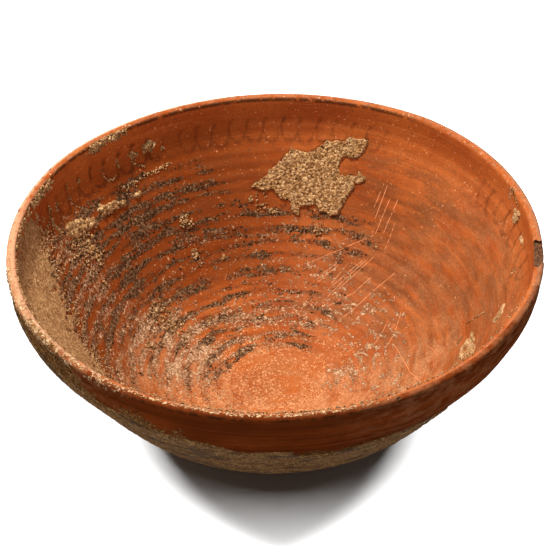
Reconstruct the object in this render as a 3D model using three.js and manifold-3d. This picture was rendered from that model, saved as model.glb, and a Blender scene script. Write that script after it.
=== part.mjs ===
// Painted bowl, thrown on a wheel, with flakes of dried soil still on its wall.
// Millimetres, +Z up. The origin is the centre of the flat base, and the lip's broken notch is close to +X.
import * as THREE from "three";
import { mergeVertices } from "three/addons/utils/BufferGeometryUtils.js";
import Module from "manifold-3d";

const wasm = await Module();
wasm.setup();

// Driving sizes of the bowl
const RIM_DIAMETER = 200;
const HEIGHT = 78;
const BASE_DIAMETER = 64;
const LIP_THICKNESS = 3.6;
const LIP_ROUND = 1.7; // rounding of the lip's two edges
const FLOOR_THICKNESS = 6;

// Driving sizes of the wall's inside line, from the lip down: upright band, shoulder, straight wall, well
const BAND_LEAN = 1.2; // how far the upright band leans in
const SHOULDER_DEPTH = 13.2; // where the band would meet the straight wall
const SHOULDER_BEND = 6.5; // length of each leg of the shoulder's curve
const WALL_SLOPE = 36.5; // degrees from upright
const STRAIGHT_WALL = 25.5; // from the shoulder to the well's curve
const WELL_PULL = 27; // how stiffly the well's curve leaves the wall
const FLOOR_PULL = 54.5; // and how flat it comes into the floor

// Driving sizes of the notch that is broken out of the lip
const NOTCH_LENGTH = 15;
const NOTCH_WIDTH = 10;
const NOTCH_DEPTH = 3;
const NOTCH_ANGLE = -7; // degrees from +X

// Driving sizes of the soil
const BEDDING_GAP = 0.3; // clearance between a flake and the wall that it lies on
const THICK_FLAKE = 1.5;
const THIN_FLAKE = 0.9;
const OUTER_COAT = 1;
const COAT_CRACK = 0.5; // degrees between two neighbouring stretches of the coat outside
const FRONT_CRACK = -118; // where the left and the front stretch part
const RIGHT_CRACK = -87; // where the front and the right stretch part

// Facets
const TURN_STEPS = 72;
const LIP_STEPS = 3;
const SHOULDER_STEPS = 4;
const WELL_STEPS = 10;
const LONGEST_EDGE = 4; // degrees of turn between two points of a flake's edge

const rimRadius = RIM_DIAMETER / 2;
const baseRadius = BASE_DIAMETER / 2;
const degrees = THREE.MathUtils.degToRad;

// The inside line of the wall

const inside = new THREE.Path();
const lipInside = new THREE.Vector2(rimRadius - LIP_THICKNESS, HEIGHT);
const shoulder = new THREE.Vector2(lipInside.x - BAND_LEAN, HEIGHT - SHOULDER_DEPTH);
const bandRun = shoulder.clone().sub(lipInside).normalize();
const wallRun = new THREE.Vector2(-Math.sin(degrees(WALL_SLOPE)), -Math.cos(degrees(WALL_SLOPE)));
const bendStart = shoulder.clone().addScaledVector(bandRun, -SHOULDER_BEND);
const bendEnd = shoulder.clone().addScaledVector(wallRun, SHOULDER_BEND);
const wellStart = shoulder.clone().addScaledVector(wallRun, STRAIGHT_WALL);
const wellHandle = wellStart.clone().addScaledVector(wallRun, WELL_PULL);

inside.moveTo(lipInside.x, lipInside.y);
inside.lineTo(bendStart.x, bendStart.y);
inside.quadraticCurveTo(shoulder.x, shoulder.y, bendEnd.x, bendEnd.y);
inside.lineTo(wellStart.x, wellStart.y);
inside.bezierCurveTo(wellHandle.x, wellHandle.y, FLOOR_PULL, FLOOR_THICKNESS, 0, FLOOR_THICKNESS);

const insideLength = inside.getLength();
const runEnds = inside.getCurveLengths();

// Lengths down the inside line at which the wall has a ring of points
function ringLengths() {
  const stepsOfRun = [1, SHOULDER_STEPS, 1, WELL_STEPS];
  const lengths = [0];
  stepsOfRun.forEach((steps, run) => {
    const from = lengths.at(-1);
    for (let step = 1; step <= steps; step++) {
      lengths.push(from + ((runEnds[run] - from) * step) / steps);
    }
  });
  return lengths;
}

const rings = ringLengths();

// A point of the wall: a length down the inside line, and a distance out from it, square to the wall
function wallPoint(length, out) {
  const share = length / insideLength;
  const point = inside.getPoint(share);
  const run = inside.getTangent(share);
  return new THREE.Vector2(point.x - run.y * out, point.y + run.x * out);
}

// The wall thickens from the lip to the floor
function wallThickness(length) {
  return LIP_THICKNESS + (FLOOR_THICKNESS - LIP_THICKNESS) * (length / insideLength) ** 2;
}

// Solids

function revolve(outline) {
  const geometry = new THREE.LatheGeometry(outline, TURN_STEPS);
  geometry.rotateX(Math.PI / 2);
  return geometry;
}

function solidOf(geometry) {
  const bare = geometry.clone();
  bare.deleteAttribute("normal");
  bare.deleteAttribute("uv");
  const merged = mergeVertices(bare);
  const vertProperties = Float32Array.from(merged.attributes.position.array);
  const triVerts = Uint32Array.from(merged.index.array);
  return new wasm.Manifold(new wasm.Mesh({ numProp: 3, vertProperties, triVerts }));
}

function geometryOf(solid) {
  const mesh = solid.getMesh();
  const geometry = new THREE.BufferGeometry();
  geometry.setAttribute("position", new THREE.BufferAttribute(mesh.vertProperties, 3));
  geometry.setIndex(new THREE.BufferAttribute(mesh.triVerts, 1));
  const faceted = geometry.toNonIndexed();
  faceted.computeVertexNormals();
  return faceted;
}

// The fired clay

function bowlOutline() {
  const outside = rings
    .filter((length) => length > LIP_ROUND)
    .map((length) => wallPoint(length, wallThickness(length)))
    .filter((point) => point.x > baseRadius);
  const lip = new THREE.Path();
  const innerEdge = wallPoint(LIP_ROUND, 0);
  lip.moveTo(rimRadius, HEIGHT - LIP_ROUND);
  lip.quadraticCurveTo(rimRadius, HEIGHT, rimRadius - LIP_ROUND, HEIGHT);
  lip.lineTo(lipInside.x + LIP_ROUND, HEIGHT);
  lip.quadraticCurveTo(lipInside.x, HEIGHT, innerEdge.x, innerEdge.y);
  const wall = rings.filter((length) => length > LIP_ROUND).map((length) => wallPoint(length, 0));
  return [
    new THREE.Vector2(0, 0),
    new THREE.Vector2(baseRadius, 0),
    ...outside.reverse(),
    ...lip.getPoints(LIP_STEPS),
    ...wall,
  ];
}

function notchGeometry() {
  const notch = new THREE.IcosahedronGeometry(1, 1);
  notch.scale(NOTCH_WIDTH / 2, NOTCH_LENGTH / 2, NOTCH_DEPTH);
  notch.translate(rimRadius - LIP_THICKNESS / 2, 0, HEIGHT);
  notch.rotateZ(degrees(NOTCH_ANGLE));
  return notch;
}

function bowlGeometry() {
  return geometryOf(solidOf(revolve(bowlOutline())).subtract(solidOf(notchGeometry())));
}

// Flakes of soil. An outline is a list of [degrees round from +X, millimetres down the inside line].

// The ball that the bowl's hollow roughly fills: a flake's edges are cut towards its centre
const hollowDepth = HEIGHT - FLOOR_THICKNESS;
const ballRadius = (lipInside.x ** 2 + hollowDepth ** 2) / (2 * hollowDepth);
const ballCentre = new THREE.Vector3(0, 0, FLOOR_THICKNESS + ballRadius);
const CUT_FROM = 1.6; // the cut starts well outside the wall and ends well inside, in ball radii
const CUT_TO = 0.5;

function fineEdge(outline) {
  return outline.flatMap(([turn, length], index) => {
    const [nextTurn, nextLength] = outline[(index + 1) % outline.length];
    const steps = Math.ceil(Math.abs(nextTurn - turn) / LONGEST_EDGE) || 1;
    return Array.from({ length: steps }, (_, step) => {
      const share = step / steps;
      return new THREE.Vector2(turn + (nextTurn - turn) * share, length + (nextLength - length) * share);
    });
  });
}

// A wedge with the outline's edges, through the wall and towards the ball's centre
function outlineCutter(outline) {
  const shape = new THREE.Shape(fineEdge(outline));
  const wedge = new THREE.ExtrudeGeometry(shape, { depth: 1, bevelEnabled: false });
  const place = wedge.attributes.position;
  const point = new THREE.Vector3();
  for (let index = 0; index < place.count; index++) {
    const turn = degrees(place.getX(index));
    const onWall = wallPoint(place.getY(index), 0);
    const reach = THREE.MathUtils.lerp(CUT_FROM, CUT_TO, place.getZ(index));
    point.set(onWall.x * Math.cos(turn), onWall.x * Math.sin(turn), onWall.y);
    point.sub(ballCentre).multiplyScalar(reach).add(ballCentre);
    place.setXYZ(index, point.x, point.y, point.z);
  }
  return wedge;
}

// A shell between two distances from the inside line, over the whole wall down to the well
function wallShell(nearDistance, farDistance) {
  const lengths = rings.filter((length) => length > 0 && length < insideLength);
  lengths.unshift(LIP_ROUND);
  const near = lengths.map((length) => wallPoint(length, nearDistance(length)));
  const far = lengths.map((length) => wallPoint(length, farDistance(length)));
  return [...far.reverse(), ...near, far[0].clone()];
}

function insideFlake(outline, thickness) {
  const shell = wallShell(
    () => -BEDDING_GAP - thickness,
    () => -BEDDING_GAP,
  );
  return geometryOf(solidOf(revolve(shell)).intersect(solidOf(outlineCutter(outline))));
}

function outsideCoat(outline) {
  const shell = wallShell(
    (length) => wallThickness(length) + BEDDING_GAP,
    (length) => wallThickness(length) + BEDDING_GAP + OUTER_COAT,
  );
  return geometryOf(solidOf(revolve(shell)).intersect(solidOf(outlineCutter(outline))));
}

const BACK_WALL = [
  [64.5, 15], [70, 15], [71, 17], [76, 18], [78, 21.5], [80, 23.5], [84.5, 22], [86.5, 25], [87.5, 27.5],
  [90.5, 31], [92, 33.5], [96, 37], [96.5, 38.5], [92, 40.5], [90, 40], [88, 44], [85, 45], [84, 49.5],
  [82, 50.5], [80.5, 50], [81, 47], [77, 45.5], [75.5, 49], [73, 47.5], [72, 50], [69, 48], [67.5, 44],
  [67, 40], [65.5, 35], [63, 32], [63.5, 30], [65.5, 27.5], [66.5, 30], [70.5, 31], [71, 27], [70.5, 24.5],
  [67, 24], [65.5, 21.5],
];
const LEFT_WALL = [
  [163.5, 3.5], [164.5, 6], [162, 12], [161.5, 16], [164.5, 19], [166, 23], [168, 27], [171, 32],
  [175, 37], [179, 42], [184, 45], [187, 50], [190, 56], [193, 60], [200, 58], [205, 49], [207, 37],
  [206, 24], [208, 13], [206, 3.5],
];
const LEFT_SPUR = [
  [145.5, 30], [146, 26.5], [148, 25], [150.5, 23], [153, 22], [155.5, 22.5], [156, 25], [155, 28],
  [153, 29.5], [150, 29.5], [147.5, 31],
];
const LEFT_BIT = [[133.5, 27.5], [138, 25.5], [142.5, 24.5], [142.5, 29], [139, 30], [134, 30]];
const LEFT_CRUMB = [[128, 27.5], [130, 26.5], [131.5, 28], [131, 30], [128.5, 29.5]];
const HOOK_DAB = [[120, 11], [122, 10], [124, 12], [123.5, 14.5], [121.5, 15], [120.2, 13.5]];
const RIM_LEFT = [[127, 2], [133, 1.6], [139.5, 2], [138, 4.2], [134.5, 3.8], [131, 4.8], [128, 3.6]];
const RIM_FAR_LEFT = [[154, 2], [158, 1.6], [162, 2.2], [161.5, 4.6], [158.5, 5.2], [155.5, 4]];
const RIGHT_LOWER = [
  [-20, 43], [-18, 41.2], [-16, 41.8], [-14, 43.2], [-11, 44], [-9, 44.5], [-7, 46.5], [-9, 47.5],
  [-9.5, 50], [-10.5, 52.5], [-13, 52], [-15, 53], [-17, 51], [-19, 48],
];
const RIGHT_UPPER = [
  [-12.5, 32], [-12, 28.5], [-10, 27.5], [-7, 26.2], [-7.2, 28], [-9, 31], [-10, 33], [-11.5, 33.7],
];
const RIGHT_RIM = [[10.5, 5], [14.5, 6], [14.5, 11.5], [12.5, 12], [11, 9]];
const RIGHT_DAB = [[4.5, 11], [6.5, 10], [8, 11.5], [7, 13], [5, 13]];

// The coat outside breaks into three stretches, with a crack between neighbours
const leftOfFront = FRONT_CRACK - COAT_CRACK / 2;
const rightOfFront = FRONT_CRACK + COAT_CRACK / 2;
const leftOfRight = RIGHT_CRACK - COAT_CRACK / 2;
const rightOfRight = RIGHT_CRACK + COAT_CRACK / 2;

const OUTER_LEFT = [
  [-168, 5.5], [-160, 4.5], [-150, 5.5], [-143, 8], [-136, 9], [-128, 10], [-122, 9.5],
  [leftOfFront, 12.5], [leftOfFront, 63], [-125, 66], [-133, 61], [-142, 64], [-151, 59], [-158, 61],
  [-165, 52], [-171, 47], [-168, 34], [-172, 21],
];
const OUTER_FRONT = [
  [rightOfFront, 12.5], [-115, 14], [-108, 14.5], [-101, 15.5], [-99.5, 19], [-98, 22], [-95, 20],
  [-91, 18], [leftOfRight, 19.5], [leftOfRight, 62], [-93, 65], [-101, 61], [-110, 66],
  [rightOfFront, 63],
];
const OUTER_RIGHT = [
  [rightOfRight, 24], [-84, 27], [-78, 28], [-70, 25], [-62, 23], [-55, 21], [-49, 23], [-44, 32], [-48, 43],
  [-45, 52], [-52, 60], [-61, 63], [-70, 60], [-79, 64], [rightOfRight, 62],
];

// Finishes

const slip = new THREE.MeshStandardMaterial({ color: 0xb4552a, roughness: 0.72, metalness: 0 });
const paleSoil = new THREE.MeshStandardMaterial({ color: 0xb48a58, roughness: 0.95, metalness: 0 });
const darkSoil = new THREE.MeshStandardMaterial({ color: 0x75593a, roughness: 0.95, metalness: 0 });

// Assembly

const bowl = new THREE.Group();

function addPiece(name, geometry, material) {
  const piece = new THREE.Mesh(geometry, material);
  piece.name = name;
  bowl.add(piece);
}

addPiece("bowl_body", bowlGeometry(), slip);

addPiece("crust_back_wall", insideFlake(BACK_WALL, THICK_FLAKE), paleSoil);
addPiece("crust_left_wall", insideFlake(LEFT_WALL, THIN_FLAKE), paleSoil);
addPiece("crust_left_spur", insideFlake(LEFT_SPUR, THIN_FLAKE), paleSoil);
addPiece("crust_left_bit", insideFlake(LEFT_BIT, THIN_FLAKE), paleSoil);
addPiece("crust_left_crumb", insideFlake(LEFT_CRUMB, THIN_FLAKE), paleSoil);
addPiece("crust_hook_dab", insideFlake(HOOK_DAB, THIN_FLAKE), paleSoil);
addPiece("crust_rim_left", insideFlake(RIM_LEFT, THIN_FLAKE), paleSoil);
addPiece("crust_rim_far_left", insideFlake(RIM_FAR_LEFT, THIN_FLAKE), paleSoil);
addPiece("crust_right_lower", insideFlake(RIGHT_LOWER, THIN_FLAKE), paleSoil);
addPiece("crust_right_upper", insideFlake(RIGHT_UPPER, THIN_FLAKE), paleSoil);
addPiece("crust_right_rim", insideFlake(RIGHT_RIM, THIN_FLAKE), paleSoil);
addPiece("crust_right_dab", insideFlake(RIGHT_DAB, THIN_FLAKE), paleSoil);

addPiece("crust_outer_left", outsideCoat(OUTER_LEFT), darkSoil);
addPiece("crust_outer_front", outsideCoat(OUTER_FRONT), darkSoil);
addPiece("crust_outer_right", outsideCoat(OUTER_RIGHT), darkSoil);

export default bowl;
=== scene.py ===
"""Looks of the painted bowl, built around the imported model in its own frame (metres, +Z up)."""

import logging
import math
import random
from dataclasses import dataclass
from enum import Enum, IntEnum
from functools import cached_property, partial, reduce
from typing import Sequence

import bmesh
import bpy
import numpy as np
from mathutils import Matrix, Quaternion, Vector, noise
from mathutils.kdtree import KDTree


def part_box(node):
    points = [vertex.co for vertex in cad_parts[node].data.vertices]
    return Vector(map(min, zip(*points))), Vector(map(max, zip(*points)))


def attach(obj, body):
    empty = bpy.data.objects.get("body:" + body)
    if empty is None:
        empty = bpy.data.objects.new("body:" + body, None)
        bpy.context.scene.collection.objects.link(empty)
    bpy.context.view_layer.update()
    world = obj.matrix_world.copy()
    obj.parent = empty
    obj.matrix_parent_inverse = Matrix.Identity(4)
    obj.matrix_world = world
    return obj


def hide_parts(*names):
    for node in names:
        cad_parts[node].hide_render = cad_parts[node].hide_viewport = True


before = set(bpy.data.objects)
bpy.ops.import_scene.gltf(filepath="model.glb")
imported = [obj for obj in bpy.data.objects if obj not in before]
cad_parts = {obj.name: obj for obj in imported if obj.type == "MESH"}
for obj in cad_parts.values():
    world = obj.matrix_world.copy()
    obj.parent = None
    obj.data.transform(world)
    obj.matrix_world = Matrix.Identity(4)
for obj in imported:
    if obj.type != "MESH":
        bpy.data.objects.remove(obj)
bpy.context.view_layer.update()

log = logging.getLogger("painted_bowl")

MM = 0.001
MERGE_DISTANCE = 1e-6  # metres
BODY = "root"
SEED_STRIDE = (13.7, 7.1, 3.3)  # how far apart two seeds' stretches of noise lie
FINE_WEIGHT = 0.55  # usual weight of the finer layers of a material's noise
NEAR_ZERO = 1e-6  # millimetres; keeps points on the axis from a division by 0

Socket = bpy.types.NodeSocket
Feed = Socket | float | tuple
Inputs = dict[str | int, Feed]
Pair = tuple[float, float]
Rgb = tuple[float, float, float]
Tones = tuple[Rgb, Rgb, Rgb]  # dark, middle and pale


def srgb(red: float, green: float, blue: float) -> Rgb:
    """A linear colour from three display values of 0 to 255."""
    shares = (value / 255 for value in (red, green, blue))
    return tuple(s / 12.92 if s < 0.04045 else ((s + 0.055) / 1.055) ** 2.4 for s in shares)


def smooth_step(value: np.ndarray, low: float, high: float) -> np.ndarray:
    """A soft step from 0 at low to 1 at high."""
    share = np.clip((value - low) / (high - low), 0.0, 1.0)
    return share * share * (3 - 2 * share)


def roughness_at(points: np.ndarray, size: float, octaves: int, seed: float) -> np.ndarray:
    """Fractal noise of about -1 to 1 at rows of x, y, z, with bumps of a size in the rows' own unit."""
    shift = Vector([seed * stride for stride in SEED_STRIDE])
    return np.array([noise.fractal(Vector(p) / size + shift, 1.0, 2.0, octaves) for p in points])


def point_tree(points: Sequence[Sequence[float]]) -> KDTree:
    """A tree for finding the nearest of some points.

    Args:
        points: x, y, z of each point.

    Returns:
        The tree, which numbers the points in order.
    """
    tree = KDTree(len(points))
    for index, point in enumerate(points):
        tree.insert(point, index)
    tree.balance()
    return tree


@dataclass(frozen=True)
class WallLine:
    """The wall's inside line, from the lip down to the middle of the floor. Sizes in millimetres.

    A place on the wall is a turn in degrees from +X, a length down the inside line, and a distance out
    from it, square to the wall.
    """

    rim_radius: float
    height: float
    base_radius: float = 32.0
    lip_thickness: float = 3.6
    lip_round: float = 1.7
    floor_thickness: float = 6.0
    band_lean: float = 1.2
    shoulder_depth: float = 13.2
    shoulder_bend: float = 6.5
    wall_slope: float = 36.5  # degrees from upright
    straight_wall: float = 25.5
    well_pull: float = 27.0
    floor_pull: float = 54.5
    # How far the hand-made rim stands out of round: (degrees, millimetres)
    wobble: tuple[Pair, ...] = (
        (0, 0.0), (51, 1.0), (72, -0.3), (105, -0.8), (125, -0.3), (149, 0.8), (178, -0.1), (203, -0.6),
        (225, -0.8), (262, 0.0), (300, 0.4), (328, 0.0), (343, 0.8), (354, 0.6),
    )
    wobble_depth: float = 60.0  # length down over which the wobble fades
    lump_height: float = 0.25
    lump_size: float = 28.0
    lump_ring: float = 60.0  # radius at which the lumps' noise is looked up
    lump_fade: float = 40.0  # distance from the floor's middle within which the lumps fade
    curve_steps: int = 400

    @cached_property
    def table(self) -> np.ndarray:
        """The inside line as a table.

        Returns:
            Rows of length down, radius, height, and the direction square to the wall.
        """
        lip = np.array((self.rim_radius - self.lip_thickness, self.height))
        shoulder = lip - (self.band_lean, self.shoulder_depth)
        band_run = (shoulder - lip) / np.linalg.norm(shoulder - lip)
        slope = math.radians(self.wall_slope)
        wall_run = np.array((-math.sin(slope), -math.cos(slope)))
        bend_start = shoulder - band_run * self.shoulder_bend
        bend_end = shoulder + wall_run * self.shoulder_bend
        well = shoulder + wall_run * self.straight_wall
        handle = well + wall_run * self.well_pull
        low = np.array((self.floor_pull, self.floor_thickness))
        middle = np.array((0.0, self.floor_thickness))
        share = np.linspace(0, 1, self.curve_steps)[1:, None]
        rest = 1 - share
        points = np.vstack((
            lip,
            lip + (bend_start - lip) * share,
            bend_start * rest ** 2 + shoulder * 2 * rest * share + bend_end * share ** 2,
            bend_end + (well - bend_end) * share,
            well * rest ** 3 + handle * 3 * rest ** 2 * share
            + low * 3 * rest * share ** 2 + middle * share ** 3,
        ))
        steps = np.diff(points, axis=0)
        lengths = np.concatenate(([0.0], np.cumsum(np.hypot(steps[:, 0], steps[:, 1]))))
        runs = np.gradient(points, lengths, axis=0)
        runs /= np.hypot(runs[:, 0], runs[:, 1])[:, None]
        return np.column_stack((lengths, points, -runs[:, 1], runs[:, 0]))

    @cached_property
    def tree(self) -> KDTree:
        """The inside line's points by radius and height, for finding the nearest."""
        return point_tree([(radius, height, 0.0) for _, radius, height, _, _ in self.table])

    @property
    def length(self) -> float:
        """The whole length of the inside line."""
        return float(self.table[-1, 0])

    def thickness(self, down: np.ndarray) -> np.ndarray:
        """The wall's thickness at a length down."""
        return self.lip_thickness + (self.floor_thickness - self.lip_thickness) * (down / self.length) ** 2

    def section(self, down: np.ndarray, out: np.ndarray) -> tuple[np.ndarray, np.ndarray]:
        """Radii and heights at lengths down and distances out, before the hand-made unevenness."""
        columns = [np.interp(down, self.table[:, 0], self.table[:, column]) for column in (1, 2, 3, 4)]
        return columns[0] + columns[2] * out, columns[1] + columns[3] * out

    def find(self, radius: np.ndarray, height: np.ndarray) -> tuple[np.ndarray, np.ndarray]:
        """The place on the wall nearest to each radius and height.

        Args:
            radius: radii in millimetres.
            height: heights in millimetres.

        Returns:
            Lengths down the inside line, and distances out from it.
        """
        tree = self.tree
        nearest = np.array([tree.find((r, z, 0.0))[1] for r, z in zip(radius, height)])
        row = self.table[nearest]
        down = row[:, 0]
        out = (radius - row[:, 1]) * row[:, 3] + (height - row[:, 2]) * row[:, 4]
        return down, out

    def shift(self, turn: np.ndarray, down: np.ndarray) -> np.ndarray:
        """How far the hand-made wall stands out of the true round, in millimetres.

        Args:
            turn: degrees from +X.
            down: lengths down the inside line.

        Returns:
            Outward shifts of the radius.
        """
        turns, sizes = np.array(self.wobble).T
        rim = np.interp(turn, turns, sizes, period=360)
        angle = np.radians(turn)
        ring = np.column_stack((self.lump_ring * np.cos(angle), self.lump_ring * np.sin(angle), down))
        lumps = roughness_at(ring, self.lump_size, octaves=2, seed=1.0) * self.lump_height
        near_rim = 1 - smooth_step(down, 0, self.wobble_depth)
        off_middle = smooth_step(self.length - down, 0, self.lump_fade)
        return rim * near_rim + lumps * off_middle

    def place(self, turn: np.ndarray, down: np.ndarray, out: np.ndarray) -> np.ndarray:
        """Rows of x, y, z in millimetres of places on the hand-made wall.

        Args:
            turn: degrees from +X.
            down: lengths down the inside line.
            out: distances out from it.

        Returns:
            One row for each place.
        """
        radius, height = self.section(down, out)
        radius = radius + self.shift(turn, down)
        angle = np.radians(turn)
        return np.column_stack((radius * np.cos(angle), radius * np.sin(angle), height))


class Graph:
    """A material's nodes, wired by short calls. Lengths are millimetres, turns are degrees."""

    MIX_INPUTS = (0, 6, 7)  # of a Mix node of colours: the share and both colours
    MIX_OUTPUT = 2
    NUMBER_RESULTS = ("DOT_PRODUCT", "LENGTH")  # operations on vectors that give a number
    SHAKES = 1.1  # to the millimetre
    SHAKE_REACH = 2.0
    GRAIN_EDGE = 0.7  # distance from its middle, in grain widths, at which a grain ends
    COAT_EDGE = 0.08  # softness of the edge between worn and left
    COAT_HEIGHT = (0.4, 0.6)  # height of a coat's grain at its edge, and what its middle adds
    DARK_TO_MIDDLE = (0.15, 0.45)  # chance numbers between which a grain's tone changes
    MIDDLE_TO_PALE = (0.6, 0.95)

    def __init__(self, name: str) -> None:
        """Starts an empty material.

        Args:
            name: the material's name.
        """
        self.material = bpy.data.materials.new(name)
        self.material.use_nodes = True
        self.tree = self.material.node_tree
        self.tree.nodes.clear()

    def node(self, kind: str, inputs: Inputs, **settings: object) -> bpy.types.Node:
        """A new node, set and wired.

        Args:
            kind: the node's type name, without its prefix.
            inputs: for each input by name or number, the socket to link to it or the value to set on it.
            settings: properties to set on it.

        Returns:
            The node.
        """
        made = self.tree.nodes.new("ShaderNode" + kind)
        for name, value in settings.items():
            setattr(made, name, value)
        for key, value in inputs.items():
            socket = made.inputs[key]
            if isinstance(value, Socket):
                self.tree.links.new(value, socket)
            elif isinstance(value, tuple) and len(socket.default_value) == 4:
                socket.default_value = (*value, 1.0)
            else:
                socket.default_value = value
        return made

    def math(self, operation: str, first: Feed, second: Feed = 0.0) -> Socket:
        """A Math node's result."""
        return self.node("Math", {0: first, 1: second}, operation=operation).outputs[0]

    def add(self, *parts: Feed) -> Socket:
        """The sum of its parts."""
        return reduce(partial(self.math, "ADD"), parts)

    def times(self, *parts: Feed) -> Socket:
        """The product of its parts."""
        return reduce(partial(self.math, "MULTIPLY"), parts)

    def most(self, *parts: Feed) -> Socket:
        """The largest of its parts."""
        return reduce(partial(self.math, "MAXIMUM"), parts)

    def weighed(self, *parts: tuple[Feed, float]) -> Socket:
        """The sum of its parts, each times its weight."""
        return self.add(*(self.times(part, weight) for part, weight in parts))

    def rest(self, share: Feed) -> Socket:
        """One less the share."""
        return self.math("SUBTRACT", 1.0, share)

    def step(self, value: Feed, low: float, high: float) -> Socket:
        """A soft step from 0 at low to 1 at high; high may be the smaller one.

        Args:
            value: what is compared.
            low: where the step starts.
            high: where it ends.

        Returns:
            The step's socket.
        """
        ends = {"From Min": min(low, high), "From Max": max(low, high)}
        levels = {"To Min": float(low > high), "To Max": float(low < high)}
        inputs = {"Value": value, **ends, **levels}
        made = self.node("MapRange", inputs, interpolation_type="SMOOTHSTEP", clamp=False)
        return made.outputs["Result"]

    def window(self, value: Feed, low: float, high: float, soft: float) -> Socket:
        """1 between low and high; soft is half the width of each soft end."""
        start = self.step(value, low - soft, low + soft)
        return self.times(start, self.step(value, high + soft, high - soft))

    def mix(self, share: Feed, first: Feed, second: Feed) -> Socket:
        """A colour between first and second, of which share is the second's."""
        inputs = dict(zip(self.MIX_INPUTS, (share, first, second)))
        return self.node("Mix", inputs, data_type="RGBA").outputs[self.MIX_OUTPUT]

    def tinted(self, colour: Feed, tone: Rgb, value: Feed, low: float, high: float, most: float) -> Socket:
        """A colour that turns to a tone, at most to a share, as a value goes from low to high."""
        return self.mix(self.times(self.step(value, low, high), most), colour, tone)

    def vector(self, x: Feed, y: Feed, z: Feed = 0.0) -> Socket:
        """A vector of three parts."""
        return self.node("CombineXYZ", {0: x, 1: y, 2: z}).outputs[0]

    def vector_math(self, operation: str, *parts: Feed) -> Socket:
        """A Vector Math node's result, a vector or a number."""
        made = self.node("VectorMath", dict(enumerate(parts)), operation=operation)
        return made.outputs["Value" if operation in self.NUMBER_RESULTS else "Vector"]

    def scaled(self, vector: Feed, factor: Feed) -> Socket:
        """A vector times a number."""
        return self.node("VectorMath", {0: vector, "Scale": factor}, operation="SCALE").outputs["Vector"]

    @cached_property
    def spot(self) -> Socket:
        """Object coordinates in millimetres."""
        return self.scaled(self.node("TexCoord", {}).outputs["Object"], 1 / MM)

    @cached_property
    def shaken(self) -> Socket:
        """Object coordinates in millimetres, shaken so that grains have uneven edges.

        Returns:
            The coordinates' socket.
        """
        jolt = self.node("TexNoise", {"Vector": self.spot, "Scale": self.SHAKES}).outputs["Color"]
        shake = self.vector_math("SUBTRACT", jolt, (0.5, 0.5, 0.5))
        return self.vector_math("ADD", self.spot, self.scaled(shake, self.SHAKE_REACH))

    def stretched(self, x: float, y: float, z: float) -> Socket:
        """Object coordinates in millimetres, each axis scaled."""
        return self.vector_math("MULTIPLY", self.spot, (x, y, z))

    def grains(self, size: float) -> tuple[Socket, Socket, Socket]:
        """Grains side by side.

        Args:
            size: their width.

        Returns:
            Two chance numbers of 0 to 1 for each grain, and how high it stands, from 0 to 1.
        """
        made = self.node("TexVoronoi", {"Vector": self.shaken, "Scale": 1 / size})
        chances = self.node("SeparateColor", {0: made.outputs["Color"]}).outputs
        return chances[0], chances[1], self.step(made.outputs["Distance"], self.GRAIN_EDGE, 0.0)

    def coat(self, colour: Socket, coverage: Socket, size: float, tones: Tones) -> tuple[Socket, Socket]:
        """The grains of a worn coat over a colour.

        Args:
            colour: what lies under it.
            coverage: the share of the grains that is left.
            size: the grains' width.
            tones: their colours.

        Returns:
            The colour with the coat on it, and the coat's height of 0 to 1.
        """
        chance, tint, height = self.grains(size)
        left = self.step(self.math("SUBTRACT", coverage, chance), 0.0, self.COAT_EDGE)
        dark, middle, pale = tones
        tone = self.mix(self.step(tint, *self.DARK_TO_MIDDLE), dark, middle)
        tone = self.mix(self.step(tint, *self.MIDDLE_TO_PALE), tone, pale)
        edge, rise = self.COAT_HEIGHT
        return self.mix(left, colour, tone), self.times(left, self.add(edge, self.times(height, rise)))

    def grain(
        self, where: Socket, size: float, detail: float, seed: float, rough: float = FINE_WEIGHT,
    ) -> Socket:
        """Noise of 0 to 1: its spots' width, its number of finer layers, a seed and those layers' weight."""
        inputs = {"Vector": where, "W": seed, "Scale": 1 / size, "Detail": detail, "Roughness": rough}
        return self.node("TexNoise", inputs, noise_dimensions="4D").outputs[0]

    def cells(self, where: Socket, size: float) -> Socket:
        """Distance to the nearest of scattered points, in cell widths."""
        return self.node("TexVoronoi", {"Vector": where, "Scale": 1 / size}).outputs["Distance"]

    def surface(self, colour: Feed, height: Feed, rough: Feed, specular: float) -> None:
        """The finished surface.

        Args:
            colour: base colour.
            height: bump height in millimetres.
            rough: roughness.
            specular: the specular level.
        """
        bump = self.node("Bump", {"Strength": 1.0, "Distance": MM, "Height": height})
        looks = {"Base Color": colour, "Roughness": rough, "Specular IOR Level": specular}
        shader = self.node("BsdfPrincipled", {**looks, "Normal": bump.outputs[0]})
        self.node("OutputMaterial", {"Surface": shader.outputs[0]})


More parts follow.
